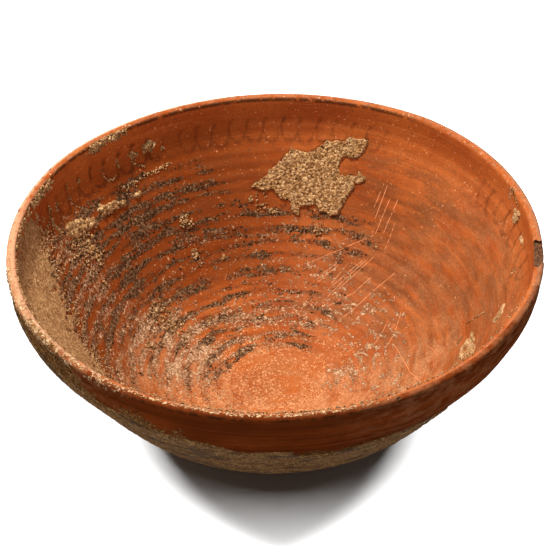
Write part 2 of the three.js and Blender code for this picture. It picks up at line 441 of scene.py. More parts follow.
class WallGraph(Graph):
    """A material of the clay wall, which knows where on the wall it is."""

    DOWN = "down"
    OUTER = "outer"
    MARK_CORE = 0.3  # share of a mark that is drawn in full

    @cached_property
    def axes(self) -> Sequence[Socket]:
        """The object's x, y and z in millimetres."""
        return list(self.node("SeparateXYZ", {0: self.spot}).outputs)

    @cached_property
    def turn(self) -> Socket:
        """Degrees from +X, from -90 at the front round to 270.

        Returns:
            The turn's socket.
        """
        x, y, _ = self.axes
        from_back = self.math("ARCTAN2", self.times(x, -1.0), y)
        return self.add(self.times(from_back, math.degrees(1)), 90.0)

    @cached_property
    def down(self) -> Socket:
        """Length down the inside line in millimetres."""
        return self.node("Attribute", {}, attribute_name=self.DOWN).outputs["Fac"]

    @cached_property
    def outer(self) -> Socket:
        """Share of the way through the wall, from 0 inside to 1 outside."""
        return self.node("Attribute", {}, attribute_name=self.OUTER).outputs["Fac"]

    def streaky(
        self, along: float, across: float, detail: float, seed: float, rough: float = FINE_WEIGHT,
    ) -> Socket:
        """Noise of 0 to 1, drawn out round the bowl.

        Args:
            along: length of its largest spots round the bowl.
            across: their width down the wall.
            detail: how many finer layers it has.
            seed: picks another stretch of the noise.
            rough: weight of the finer layers.

        Returns:
            The noise's socket.
        """
        x, y, _ = self.axes
        scales = ((x, 1 / along), (y, 1 / along), (self.down, 1 / across))
        where = self.vector(*(self.times(part, scale) for part, scale in scales))
        return self.grain(where, 1.0, detail, seed, rough)

    def around(self, *stretches: tuple[float, float, float, float]) -> Socket:
        """The summed weights of stretches round the bowl: each a start, an end, a softness and a weight."""
        return self.weighed(*((self.window(self.turn, *ends), weight) for *ends, weight in stretches))

    def front(self, left: Pair, right: Pair) -> Socket:
        """1 at the front, between soft ends at the left and at the right."""
        return self.add(self.step(self.turn, *left), self.step(self.turn, *right))

    def region(self, turns: Pair, downs: Pair, soft: Pair) -> Socket:
        """1 inside a region of the wall; its softness is in degrees and in millimetres."""
        across = self.window(self.turn, *turns, soft[0])
        return self.times(across, self.window(self.down, *downs, soft[1]))

    def line(self, start: Pair, end: Pair, width: float, radius: float) -> Socket:
        """A straight mark between two places on the wall.

        Args:
            start: turn and length down.
            end: turn and length down.
            width: the mark's width.
            radius: the bowl's radius there, which sizes a degree.

        Returns:
            1 on the mark and 0 off it.
        """
        degree = math.radians(1) * radius
        first = (start[0] * degree, start[1], 0.0)
        run = Vector((end[0] * degree, end[1], 0.0)) - Vector(first)
        place = self.vector(self.times(self.turn, degree), self.down)
        here = self.vector_math("SUBTRACT", place, first)
        along = self.vector_math("DOT_PRODUCT", here, tuple(run / run.length_squared))
        clamped = self.math("MINIMUM", self.math("MAXIMUM", along, 0.0), 1.0)
        gap = self.vector_math("SUBTRACT", here, self.scaled(tuple(run), clamped))
        return self.step(self.vector_math("LENGTH", gap), width, width * self.MARK_CORE)


@dataclass(frozen=True)
class Band:
    """A painted ring: its middle, its width and how much paint is left."""

    down: float
    width: float
    left: float


@dataclass(frozen=True)
class HookFrieze:
    """The row of painted hooks under the lip: ovals left open at the top, towards smaller turns."""

    count: int = 82
    middle: float = 15.0
    half_width: float = 3.5
    half_height: float = 5.2
    stroke: float = 1.9
    stroke_edge: Pair = (1.5, 0.3)  # shares of the stroke between which its edge fades
    jitter: float = 0.9  # how far a hook strays from its place
    smear: float = 1.4
    radius: float = 95.0  # the bowl's radius there
    slant: float = 0.8  # how far the open end leans
    opening: Pair = (-0.85, -0.3)  # heights, in half heights, between which the open end fades
    least_left: float = 0.45  # share of the paint left on the most worn hook

    def mask(self, graph: WallGraph) -> Socket:
        """1 on the hooks.

        Args:
            graph: the wall's material.

        Returns:
            The hooks' socket.
        """
        pitch = 360 / self.count
        cell = graph.times(graph.turn, 1 / pitch)
        chance = graph.node("TexWhiteNoise", {"W": graph.math("FLOOR", cell)}, noise_dimensions="1D")
        chances = graph.node("SeparateXYZ", {0: chance.outputs["Color"]}).outputs
        smear = graph.grain(graph.spot, size=2.2, detail=3.0, seed=21.0)
        pitch_length = math.radians(pitch) * self.radius
        across = graph.times(graph.add(graph.math("FRACT", cell), -0.5), pitch_length)
        moved = graph.weighed((chances[0], self.jitter), (smear, self.smear))
        across = graph.add(across, moved, -self.smear / 2)
        height = graph.add(graph.down, graph.times(chances[1], 2 * self.jitter), -self.middle)
        across = graph.times(across, 1 / self.half_width)
        height = graph.times(height, 1 / self.half_height)
        length = graph.vector_math("LENGTH", graph.vector(across, height))
        gap = graph.math("ABSOLUTE", graph.add(length, -1.0))
        width = self.stroke / (self.half_width + self.half_height)
        ring = graph.step(gap, *(width * share for share in self.stroke_edge))
        open_end = graph.step(graph.add(height, graph.times(across, self.slant)), *self.opening)
        left = graph.add(self.least_left, graph.times(chances[2], 1 - self.least_left))
        return graph.times(ring, open_end, left)


# Colours of the finishes; some are painted light or shade, as their comments say
SLIP = srgb(178, 92, 40)
SLIP_DEEP = srgb(158, 74, 30)
# painted shade: darker slip for the back-left and lower wall, which the key light hardly reaches
SLIP_PAINTED_SHADE = srgb(128, 54, 10)
SLIP_PALE = srgb(200, 120, 66)
# pale worn lip, also a painted highlight where the light catches it
LIP_WEAR_AND_HIGHLIGHT = srgb(214, 160, 122)
STAIN = srgb(122, 70, 38)
# pale dust, also a painted sheen on the lit right wall and the floor
DUST_AND_SHEEN = srgb(202, 142, 96)
FLECK = srgb(214, 148, 100)
# dark paint, also a painted shade line along the lip's inner edge
PAINT_AND_SHADE = srgb(52, 30, 13)
PAINT_THIN = srgb(108, 48, 19)
HOOK = srgb(76, 34, 14)
SCRATCH = srgb(226, 146, 98)
OUTER_SLIP = srgb(146, 66, 26)
# painted shade under the lip at the front
OUTER_PAINTED_SHADE = srgb(66, 26, 7)
OUTER_SLIP_DEEP = srgb(106, 46, 17)
# pale dust, also painted light on the lit left side of the outside
OUTER_DUST_AND_LIGHT = srgb(172, 112, 74)
OUTER_SOIL = srgb(142, 97, 53)
OUTER_SOIL_DARK = srgb(46, 28, 13)
# dark flecks, also a painted shade line along the front lip's outer edge
LIP_FLECK_AND_SHADE = srgb(48, 28, 16)
BREAK = srgb(122, 80, 52)
BREAK_DARK = srgb(70, 40, 24)
FLOOR = (0.94, 0.94, 0.94)
FLOOR_DULL = (0.90, 0.90, 0.90)

# Tones of the grains of each coat and of each kind of soil
PAINT_TONES = (PAINT_AND_SHADE, srgb(86, 58, 37), srgb(150, 110, 78))
FILM_TONES = (srgb(128, 88, 60), srgb(178, 130, 92), srgb(224, 184, 144))
LIP_SOIL_TONES = (srgb(124, 86, 56), srgb(186, 148, 106), srgb(222, 190, 148))
OUTER_STAIN_TONES = (srgb(82, 54, 29), OUTER_SOIL, srgb(182, 136, 88))
OUTER_SOIL_TONES = (OUTER_SOIL_DARK, OUTER_SOIL, srgb(204, 158, 106))
SOIL_TONES = (srgb(84, 44, 12), srgb(184, 134, 82), srgb(250, 206, 150))
FINE_SOIL_TONES = (srgb(118, 76, 42), srgb(182, 133, 84), srgb(220, 176, 124))
# painted light: a lighter copy of the soil tones for the brightly lit right wall
PAINTED_LIGHT_SOIL_TONES = (srgb(134, 82, 42), srgb(206, 154, 100), srgb(248, 208, 158))


@dataclass(frozen=True)
class Region:
    """A soft-edged stretch of the wall, and how strongly something shows there."""

    turns: Pair
    downs: Pair
    soft: Pair
    weight: float


@dataclass(frozen=True)
class WallFinish:
    """A finish of the clay wall. Sizes in millimetres."""

    name: str

    @cached_property
    def graph(self) -> WallGraph:
        """The nodes of its material."""
        return WallGraph(self.name)


@dataclass(frozen=True)
class PaintedInside(WallFinish):
    """The inside: orange-red slip, worn brown bands and hooks, scratches and soil stain, with painted shade,
    highlight and sheen in places.
    """

    name: str = "painted_inside"
    paint_grain: float = 0.6
    film_grain: float = 0.55
    speck_grain: float = 0.5
    band_edge: float = 0.8  # half the width of a band's soft edge
    band_core: float = 0.45  # half a band, as a share of its width
    bands: tuple[Band, ...] = (
        Band(23.5, 2.2, 0.6), Band(28.5, 3.0, 0.8), Band(33.8, 3.8, 1.0), Band(38.6, 3.2, 0.9),
        Band(43.2, 3.2, 0.85), Band(48.6, 3.8, 1.0), Band(55.0, 3.6, 0.9), Band(61.0, 3.8, 0.85),
        Band(66.5, 3.4, 0.75), Band(73.0, 3.6, 0.75), Band(78.0, 2.4, 0.5), Band(82.5, 3.4, 0.7),
        Band(89.0, 3.8, 0.75), Band(96.0, 3.8, 0.75), Band(103.0, 3.8, 0.65), Band(109.0, 3.6, 0.5),
    )
    hooks: HookFrieze = HookFrieze()
    soil_film: tuple[Region, ...] = (
        Region((138, 186), (70, 106), (12, 9), 0.74),
        Region((190, 262), (84, 122), (14, 10), 0.16),
        Region((196, 244), (36, 90), (12, 12), 0.40),
        Region((154, 206), (44, 72), (9, 8), 0.34),
        Region((150, 202), (16, 48), (8, 8), 0.28),
        Region((56, 134), (50, 111), (10, 6), 0.10),
        Region((62, 140), (86, 111), (14, 6), 0.34),
        Region((3, 17), (101, 110), (4, 3), 0.55),
    )
    soil_spots: tuple[Region, ...] = (
        Region((20, 62), (70, 100), (8, 5), 0.85),
        Region((-14, 24), (78, 114), (6, 4), 0.90),
        Region((-26, -8), (74, 92), (4, 3), 0.80),
        Region((11, 19), (0, 7), (2, 1), 0.80),
        Region((60, 104), (50, 100), (8, 6), 0.45),
    )
    # pale dust; on the right wall and the floor it also stands in for a painted sheen
    dust: tuple[Region, ...] = (
        Region((-84, 10), (58, 118), (14, 12), 0.60),
        Region((-30, 40), (12, 62), (12, 10), 0.16),
        Region((20, 78), (50, 118), (16, 14), 0.16),
        Region((150, 262), (70, 118), (18, 12), 0.50),
        Region((-100, 280), (110, 140), (1, 8), 0.22),
    )
    stains_and_painted_shade: tuple[Region, ...] = (
        Region((-30, 66), (18, 92), (12, 8), 0.85),
        Region((60, 120), (6, 50), (10, 4), 0.15),
        # this stretch darkens the back-left wall as painted shade
        Region((96, 200), (22, 74), (12, 6), 0.25),
        Region((-100, 280), (118, 140), (1, 4), 0.50),
    )
    # painted shade: where the slip is darkened to stand in for the shade on the back-left and lower wall
    painted_shade_slip: tuple[Region, ...] = (
        Region((94, 206), (12, 76), (16, 10), 0.90),
        Region((66, 262), (72, 112), (18, 14), 0.15),
    )
    film_cover: tuple[Region, ...] = (Region((158, 262), (66, 112), (14, 10), 0.5),)
    scratch_width: float = 0.26
    scratch_radius: float = 96.0  # the bowl's radius at the lip
    scratch_narrowing: float = 0.62  # what the radius loses for each millimetre down
    scratches: tuple[tuple[Pair, ...], ...] = (
        ((42, 62), (46.5, 74), (49, 84), (51.5, 90)),
        ((50, 68), (53.5, 77), (61.5, 86)),
        ((52.5, 60), (57, 70), (62.5, 81)),
        ((54, 61), (59, 71), (64, 82)),
        ((56, 63), (61, 72), (66, 80.5)),
        ((55.5, 52), (66, 62), (76.5, 69.5)),
        ((61, 66), (65, 77)),
        ((64.5, 68), (70.5, 76.5)),
        ((66, 68), (71.5, 75.5)),
        ((52, 35), (52.5, 52)),
        ((54.4, 36), (55, 51)),
        ((56.4, 31), (56.8, 45)),
        ((57.6, 31), (58.2, 41)),
        ((50, 44), (49.6, 56)),
        ((28.5, 73), (17, 86)),
        ((29.5, 80), (22, 91)),
        ((-15, 73), (-6, 79), (6, 82), (16, 83)),
        ((-4, 66), (4, 70)),
    )

    def material(self) -> bpy.types.Material:
        """Wires the coats over each other.

        Returns:
            The finished material.
        """
        graph = self.graph
        bands = self.band_mask()
        left = self.paint_left()
        wash = graph.times(bands, graph.add(0.25, graph.times(left, 0.35)))
        colour = graph.mix(wash, self.slip(), PAINT_THIN)
        colour = graph.mix(self.hook_mask(), colour, HOOK)
        colour = self.dusted_and_sheened(colour)
        colour, paint = graph.coat(colour, self.paint(bands, left), self.paint_grain, PAINT_TONES)
        colour, film = graph.coat(colour, self.film(bands), self.film_grain, FILM_TONES)
        scratch = graph.times(self.scratch_mask(), graph.rest(film))
        colour = graph.mix(graph.times(scratch, 0.85), colour, SCRATCH)
        colour, soil = self.lip(colour)
        wheel_marks = graph.streaky(60.0, 1.0, detail=3.0, seed=8.0)
        grit = graph.grain(graph.spot, size=0.8, detail=3.0, seed=5.0, rough=0.6)
        height = graph.weighed(
            (wheel_marks, 0.1), (grit, 0.1), (paint, 0.2), (film, 0.28), (soil, 0.3), (scratch, -0.1),
        )
        rough = graph.add(0.6, graph.times(graph.most(paint, film, soil), 0.35))
        graph.surface(colour, height, rough, specular=0.03)
        return graph.material

    def spread(self, regions: Sequence[Region]) -> Socket:
        """The summed weights of some regions."""
        shares = ((self.graph.region(part.turns, part.downs, part.soft), part.weight) for part in regions)
        return self.graph.weighed(*shares)

    def slip(self) -> Socket:
        """The slip, with clouds, wheel streaks, a painted shade on the back-left and lower wall, dirt that is
        also painted shade at the back-left, specks, and pale flecks on the floor.

        Returns:
            The colour's socket.
        """
        graph = self.graph
        clouds = graph.grain(graph.spot, size=22.0, detail=3.0, seed=1.0)
        colour = graph.mix(graph.step(clouds, 0.35, 0.65), SLIP_DEEP, SLIP)
        streaks = graph.streaky(70.0, 1.3, detail=5.0, seed=2.0, rough=0.65)
        colour = graph.tinted(colour, SLIP_PALE, streaks, 0.5, 0.72, most=0.45)
        colour = graph.tinted(colour, SLIP_DEEP, streaks, 0.48, 0.28, most=0.5)
        # painted shade on the back-left and lower wall
        colour = graph.mix(self.spread(self.painted_shade_slip), colour, SLIP_PAINTED_SHADE)
        smudge = graph.streaky(16.0, 4.0, detail=6.0, seed=18.0, rough=0.68)
        # dirt stains, and on the back-left wall a painted shade
        dirt = graph.times(graph.step(smudge, 0.38, 0.62), self.spread(self.stains_and_painted_shade))
        colour = graph.mix(dirt, colour, STAIN)
        mottle = graph.grain(graph.spot, size=1.2, detail=5.0, seed=17.0, rough=0.7)
        colour = graph.tinted(colour, STAIN, mottle, 0.48, 0.34, most=0.4)
        colour = graph.tinted(colour, SLIP_PALE, mottle, 0.54, 0.7, most=0.4)
        floor = graph.step(graph.down, 84.0, 116.0)
        chance, tint, _ = graph.grains(self.speck_grain)
        colour = graph.tinted(colour, STAIN, tint, 0.08, 0.04, most=0.8)
        front = graph.add(0.2, graph.times(graph.step(graph.axes[1], 8.0, -26.0), 0.3))
        flecks = graph.times(floor, graph.step(smudge, 0.38, 0.58), front)
        return graph.mix(graph.step(graph.add(chance, flecks), 0.985, 1.0), colour, FLECK)

    def dusted_and_sheened(self, colour: Socket) -> Socket:
        """A haze of pale dust over a colour, in clouds; on the lit right wall and the floor it also stands in
        for a painted sheen.

        Args:
            colour: what lies under it.

        Returns:
            The colour with the dust on it.
        """
        graph = self.graph
        fine = graph.grain(graph.spot, size=0.8, detail=3.0, seed=19.0, rough=0.6)
        clouds = graph.streaky(10.0, 5.0, detail=5.0, seed=20.0, rough=0.65)
        share = graph.times(graph.step(clouds, 0.32, 0.62), graph.add(0.4, graph.step(fine, 0.35, 0.65)))
        return graph.mix(graph.times(share, self.spread(self.dust)), colour, DUST_AND_SHEEN)

    def band_mask(self) -> Socket:
        """The painted rings, whose edges waver.

        Returns:
            On each ring, the share of its paint that is left.
        """
        graph = self.graph
        waver = graph.streaky(24.0, 9.0, detail=3.0, seed=4.0)
        ragged = graph.streaky(4.0, 2.0, detail=4.0, seed=23.0)
        swell = graph.times(graph.add(graph.streaky(14.0, 5.0, detail=3.0, seed=25.0), -0.5), 7.0)
        level = graph.add(graph.down, graph.weighed((waver, 5.0), (ragged, 3.0)), -4.0)
        rings = []
        for band in self.bands:
            gap = graph.add(graph.math("ABSOLUTE", graph.add(level, -band.down)), swell)
            half = band.width * self.band_core
            ring = graph.step(gap, half + self.band_edge, half - self.band_edge)
            rings.append(graph.times(ring, band.left))
        return graph.most(*rings)

    def paint_left(self) -> Socket:
        """How much paint is left round the bowl: most at the left, less at the back and the front."""
        stretches = ((110.0, 190.0, 24.0, 0.95), (56.0, 104.0, 14.0, 0.5), (190.0, 262.0, 18.0, 0.35))
        return self.graph.add(0.05, self.graph.around(*stretches))

    def paint(self, bands: Socket, left: Socket) -> Socket:
        """The share of the paint's grains that is left.

        Args:
            bands: the painted rings.
            left: how much paint is left there.

        Returns:
            The share's socket.
        """
        graph = self.graph
        clumps = graph.streaky(5.5, 2.6, detail=6.0, seed=3.0, rough=0.68)
        worn = graph.streaky(13.0, 6.0, detail=3.0, seed=24.0)
        share = graph.add(graph.weighed((bands, 1.1), (clumps, 5.0), (worn, 5.0), (left, 1.1)), -6.05)
        upper_back = graph.times(graph.step(graph.turn, 112.0, 96.0), -26.0)
        below = graph.step(graph.add(graph.down, upper_back), 18.0, 24.0)
        off_floor = graph.step(graph.down, 114.0, 110.0)
        bare = graph.rest(self.spread(self.film_cover))
        return graph.times(share, graph.step(left, 0.1, 0.35), below, off_floor, bare)

    def hook_mask(self) -> Socket:
        """The hooks, strong at the left, weak at the back and the right.

        Returns:
            The share of their paint that is left.
        """
        graph = self.graph
        stretches = ((120.0, 164.0, 5.0, 0.8), (60.0, 114.0, 6.0, 0.4), (-6.0, 32.0, 6.0, 0.5))
        strength = graph.add(0.1, graph.around(*stretches))
        wear = graph.grain(graph.spot, size=3.2, detail=5.0, seed=9.0, rough=0.65)
        return graph.times(self.hooks.mask(graph), strength, graph.step(wear, 0.34, 0.54))

    def film(self, bands: Socket) -> Socket:
        """The share of the grains of grey-tan soil that is left in worn patches.

        Args:
            bands: the painted rings, which hold it better.

        Returns:
            The share's socket.
        """
        graph = self.graph
        islands = graph.streaky(11.0, 3.2, detail=6.0, seed=6.0, rough=0.62)
        patchy = graph.add(graph.weighed((islands, 12.0), (bands, 0.4)), -5.3)
        patchy = graph.times(self.spread(self.soil_film), graph.math("MINIMUM", patchy, 1.35))
        spots = graph.streaky(4.0, 2.6, detail=6.0, seed=31.0, rough=0.62)
        spots = graph.times(self.spread(self.soil_spots), graph.step(spots, 0.53, 0.57))
        return graph.most(patchy, spots)

    def scratch_mask(self) -> Socket:
        """The light scratches, broken here and there.

        Returns:
            1 on the scratches and 0 off them.
        """
        graph = self.graph
        marks = []
        for points in self.scratches:
            for start, end in zip(points, points[1:]):
                radius = self.scratch_radius - self.scratch_narrowing * (start[1] + end[1]) / 2
                marks.append(graph.line(start, end, self.scratch_width, radius))
        broken = graph.step(graph.grain(graph.spot, size=1.6, detail=2.0, seed=14.0), 0.34, 0.52)
        return graph.times(graph.most(*marks), broken)

    def lip(self, colour: Socket) -> tuple[Socket, Socket]:
        """The worn lip over a colour, with a painted highlight at the left, a painted shade line along its
        inner edge at the back, and soil on its crest.

        Args:
            colour: what lies under it.

        Returns:
            The colour with the lip, and the soil's height of 0 to 1.
        """
        graph = self.graph
        wear = graph.grain(graph.spot, size=2.5, detail=5.0, seed=12.0, rough=0.65)
        edge = graph.step(graph.down, 1.5, 0.4)
        # painted highlight: the pale worn lip is strongest at the left, where the light falls on it
        left = graph.window(graph.turn, 166.0, 224.0, 12.0)
        worn = graph.step(graph.add(wear, graph.times(left, 0.2)), 0.44, 0.6)
        colour = graph.mix(graph.times(edge, worn, graph.add(0.15, graph.times(left, 0.6))), colour, LIP_WEAR_AND_HIGHLIGHT)
        # painted shade: a dark line along the lip's inner edge at the back, which faces away from the light
        back = graph.window(graph.turn, 54.0, 186.0, 8.0)
        shade = graph.times(graph.window(graph.down, 0.5, 1.9, 0.4), back, graph.step(wear, 0.34, 0.5))
        colour = graph.mix(graph.times(shade, 0.8), colour, PAINT_AND_SHADE)
        front = graph.front((186.0, 206.0), (-60.0, -78.0))
        patches = graph.grain(graph.spot, size=5.0, detail=5.0, seed=13.0, rough=0.65)
        soil = graph.times(edge, graph.step(patches, 0.36, 0.5), graph.add(graph.times(front, 0.6), 0.1))
        return graph.coat(colour, soil, self.film_grain, FILM_TONES)


@dataclass(frozen=True)
class SlippedOutside(WallFinish):
    """The outside: dark red slip under the lip, and a stain of soil below it, with a painted highlight and
    shade at the lip.
    """

    name: str = "slipped_outside"
    soil_grain: float = 0.6
    lip_grain: float = 0.55
    soil_edge: float = 22.0  # length down
    soil_fade: float = 4.0
    soil_waver: float = 26.0
    left_rise: float = 18.0
    front_left_rise: float = 14.0

    def material(self) -> bpy.types.Material:
        """Wires the coats over each other.

        Returns:
            The finished material.
        """
        graph = self.graph
        streaks = graph.streaky(60.0, 1.8, detail=5.0, seed=2.0, rough=0.6)
        wear = graph.grain(graph.spot, size=3.0, detail=5.0, seed=12.0, rough=0.68)
        colour = graph.mix(self.dust(), self.slip(streaks, wear), OUTER_DUST_AND_LIGHT)
        colour, soil = graph.coat(colour, self.soil(), self.soil_grain, OUTER_STAIN_TONES)
        damp = graph.step(graph.streaky(16.0, 7.0, detail=5.0, seed=14.0, rough=0.6), 0.5, 0.38)
        colour = graph.mix(graph.times(damp, soil, 0.6), colour, OUTER_SOIL_DARK)
        colour, _ = graph.coat(colour, self.crest_soil(wear), self.lip_grain, LIP_SOIL_TONES)
        grit = graph.grain(graph.spot, size=0.9, detail=3.0, seed=5.0, rough=0.6)
        height = graph.weighed((streaks, 0.25), (soil, 0.4), (grit, 0.1))
        graph.surface(colour, height, graph.add(0.75, graph.times(soil, 0.2)), specular=0.0)
        return graph.material

    def slip(self, streaks: Socket, wear: Socket) -> Socket:
        """The slip, pale on the worn lip with a painted highlight at the back and the left, a painted shade
        under the lip at the front, dark flecks that also paint a shade line on the front lip's edge, and dark
        spots below it.

        Args:
            streaks: noise along the wheel's turning.
            wear: noise that breaks up the worn lip.

        Returns:
            The colour's socket.
        """
        graph = self.graph
        clouds = graph.grain(graph.spot, size=16.0, detail=4.0, seed=3.0)
        tone = graph.add(streaks, graph.times(clouds, 0.5))
        colour = graph.mix(graph.step(tone, 0.55, 0.95), OUTER_SLIP_DEEP, OUTER_SLIP)
        lip = graph.step(graph.down, 2.4, 0.9)
        # pale worn lip, painted as a highlight on the outer half where the back light catches it
        pale = graph.around((-24.0, 210.0, 10.0, 0.4), (104.0, 214.0, 12.0, 0.45))
        colour = graph.mix(graph.times(lip, pale, graph.step(wear, 0.32, 0.5)), colour, LIP_WEAR_AND_HIGHLIGHT)
        front = graph.front((200.0, 220.0), (6.0, -14.0))
        # painted shade under the lip at the front
        painted_shade_under_lip = graph.times(graph.window(graph.down, 1.5, 6.0, 5.0), front, 0.8)
        colour = graph.mix(painted_shade_under_lip, colour, OUTER_PAINTED_SHADE)
        # dark flecks of soil, which at the front also paint a shade line along the lip's outer edge
        flecks = graph.streaky(2.6, 1.4, detail=4.0, seed=9.0, rough=0.65)
        flecks = graph.times(graph.window(graph.down, 0.2, 1.5, 0.4), graph.step(flecks, 0.45, 0.55), front)
        colour = graph.mix(graph.times(flecks, 0.7), colour, LIP_FLECK_AND_SHADE)
        mottle = graph.streaky(4.0, 1.6, detail=6.0, seed=15.0, rough=0.7)
        return graph.tinted(colour, OUTER_SLIP_DEEP, mottle, 0.5, 0.34, most=0.6)

    def crest_soil(self, wear: Socket) -> Socket:
        """The share of the cream soil's grains that is left on the lip.

        Args:
            wear: noise that breaks it up.

        Returns:
            The share's socket.
        """
        graph = self.graph
        crest = graph.times(graph.step(graph.outer, 0.82, 0.62), graph.step(graph.down, 1.0, 0.3))
        front = graph.front((196.0, 216.0), (-62.0, -78.0))
        front_left = graph.window(graph.turn, 188.0, 234.0, 8.0)
        below = graph.times(front_left, graph.step(graph.down, 3.6, 1.4), graph.step(wear, 0.46, 0.56))
        return graph.most(graph.times(crest, front, graph.step(wear, 0.4, 0.54), 0.7), below)

    def dust(self) -> Socket:
        """How strongly pale dust shows, mostly at the right and at the far left, where it also paints the lit
        side lighter.

        Returns:
            The dust's share.
        """
        graph = self.graph
        patches = graph.step(graph.streaky(6.0, 2.4, detail=6.0, seed=6.0, rough=0.7), 0.4, 0.62)
        # the stretch at the far left also paints the lit side lighter
        stretches = ((-24.0, 24.0, 12.0, 0.75), (-72.0, -24.0, 12.0, 0.45), (176.0, 228.0, 16.0, 0.75))
        return graph.times(patches, graph.add(graph.around(*stretches), 0.02))

    def soil(self) -> Socket:
        """The share of the soil's grains that is left below the slip.

        Returns:
            The share's socket.
        """
        graph = self.graph
        ragged = graph.add(graph.streaky(9.0, 6.0, detail=6.0, seed=7.0, rough=0.65), -0.5)
        rise = graph.around((170.0, 222.0, 10.0, self.left_rise), (208.0, 256.0, 14.0, self.front_left_rise))
        level = graph.add(graph.down, graph.times(ragged, self.soil_waver), rise)
        worn = graph.step(graph.streaky(11.0, 5.0, detail=6.0, seed=16.0, rough=0.68), 0.36, 0.5)
        share = graph.add(0.5, graph.times(worn, 0.42))
        covered = graph.step(level, self.soil_edge, self.soil_edge + self.soil_fade)
        return graph.add(graph.times(covered, share), 0.004)


@dataclass(frozen=True)
class BrokenClay:
    """Bare fired clay where the lip is chipped."""

    def material(self) -> bpy.types.Material:
        """Wires grit and pits.

        Returns:
            The finished material.
        """
        graph = Graph("broken_clay")
        grit = graph.grain(graph.spot, size=1.2, detail=5.0, seed=1.0, rough=0.65)
        pits = graph.cells(graph.spot, size=0.9)
        colour = graph.mix(graph.step(grit, 0.35, 0.65), BREAK_DARK, BREAK)
        graph.surface(colour, graph.weighed((grit, 0.5), (pits, 0.2)), rough=0.9, specular=0.2)
        return graph.material


@dataclass(frozen=True)
class DriedSoil:
    """Dried soil: grains, lumps and pits, in the tones of one patch. Sizes in millimetres."""

    name: str
    tones: Tones
    grain_size: float
    lump: float  # height of the lumps
    lump_size: float = 1.5
    along: float = 1.0  # how far the lumps are drawn out round the bowl
    clouds: float = 0.3  # strength of its dark clouds

    def material(self) -> bpy.types.Material:
        """Wires lumps, grains and clouds.

        Returns:
            The finished material.
        """
        graph = Graph(self.name)
        where = graph.stretched(1 / self.along, 1 / self.along, 1.0)
        lumps = graph.grain(where, self.lump_size, detail=5.0, seed=1.0, rough=0.65)
        clouds = graph.grain(where, size=4.0, detail=4.0, seed=2.0)
        _, tint, height = graph.grains(self.grain_size)
        dark, middle, pale = self.tones
        colour = graph.mix(graph.step(lumps, 0.36, 0.52), dark, middle)
        colour = graph.tinted(colour, dark, tint, 0.35, 0.0, most=0.55)
        colour = graph.tinted(colour, pale, tint, 0.55, 0.95, most=0.8)
        colour = graph.tinted(colour, dark, clouds, 0.52, 0.36, most=self.clouds)
        graph.surface(colour, graph.weighed((lumps, self.lump), (height, 0.25)), rough=0.95, specular=0.1)
        return graph.material


@dataclass(frozen=True)
class PaleFloor:
    """The studio's pale floor."""

    def material(self) -> bpy.types.Material:
        """Wires a faint change of tone.

        Returns:
            The finished material.
        """
        graph = Graph("pale_floor")
        tone = graph.grain(graph.spot, size=90.0, detail=2.0, seed=1.0)
        graph.surface(graph.mix(tone, FLOOR_DULL, FLOOR), graph.times(tone, 0.01), rough=0.9, specular=0.1)
        return graph.material


def new_piece(
    name: str, mesh: bmesh.types.BMesh, materials: Sequence[bpy.types.Material],
) -> bpy.types.Object:
    """An object at the origin from a finished bmesh, which is freed.

    Args:
        name: the piece's name.
        mesh: its shape.
        materials: its material slots in order.

    Returns:
        The new object, linked to the scene.
    """
    data = bpy.data.meshes.new(name)
    mesh.to_mesh(data)
    mesh.free()
    for material in materials:
        data.materials.append(material)
    data.shade_smooth()
    piece = bpy.data.objects.new(name, data)
    bpy.context.scene.collection.objects.link(piece)
    return piece


def read_points(data: bpy.types.Mesh) -> np.ndarray:
    """A mesh's vertices.

    Args:
        data: the mesh.

    Returns:
        Rows of x, y, z in millimetres.
    """
    points = np.empty(len(data.vertices) * 3, np.float32)
    data.vertices.foreach_get("co", points)
    return points.reshape(-1, 3).astype(float) / MM


def write_points(data: bpy.types.Mesh, points: np.ndarray) -> None:
    """Moves a mesh's vertices to points given in millimetres."""
    data.vertices.foreach_set("co", (points * MM).astype(np.float32).ravel())
    data.update()


@dataclass(frozen=True)
class Chip:
    """A place where the lip is broken: turn, size of the hole, and where across the lip it sits."""

    turn: float
    length: float
    width: float
    depth: float
    across: float = 0.5


class WallSlot(IntEnum):
    """The material slots of the clay wall."""

    INSIDE = 0
    OUTSIDE = 1
    BROKEN = 2


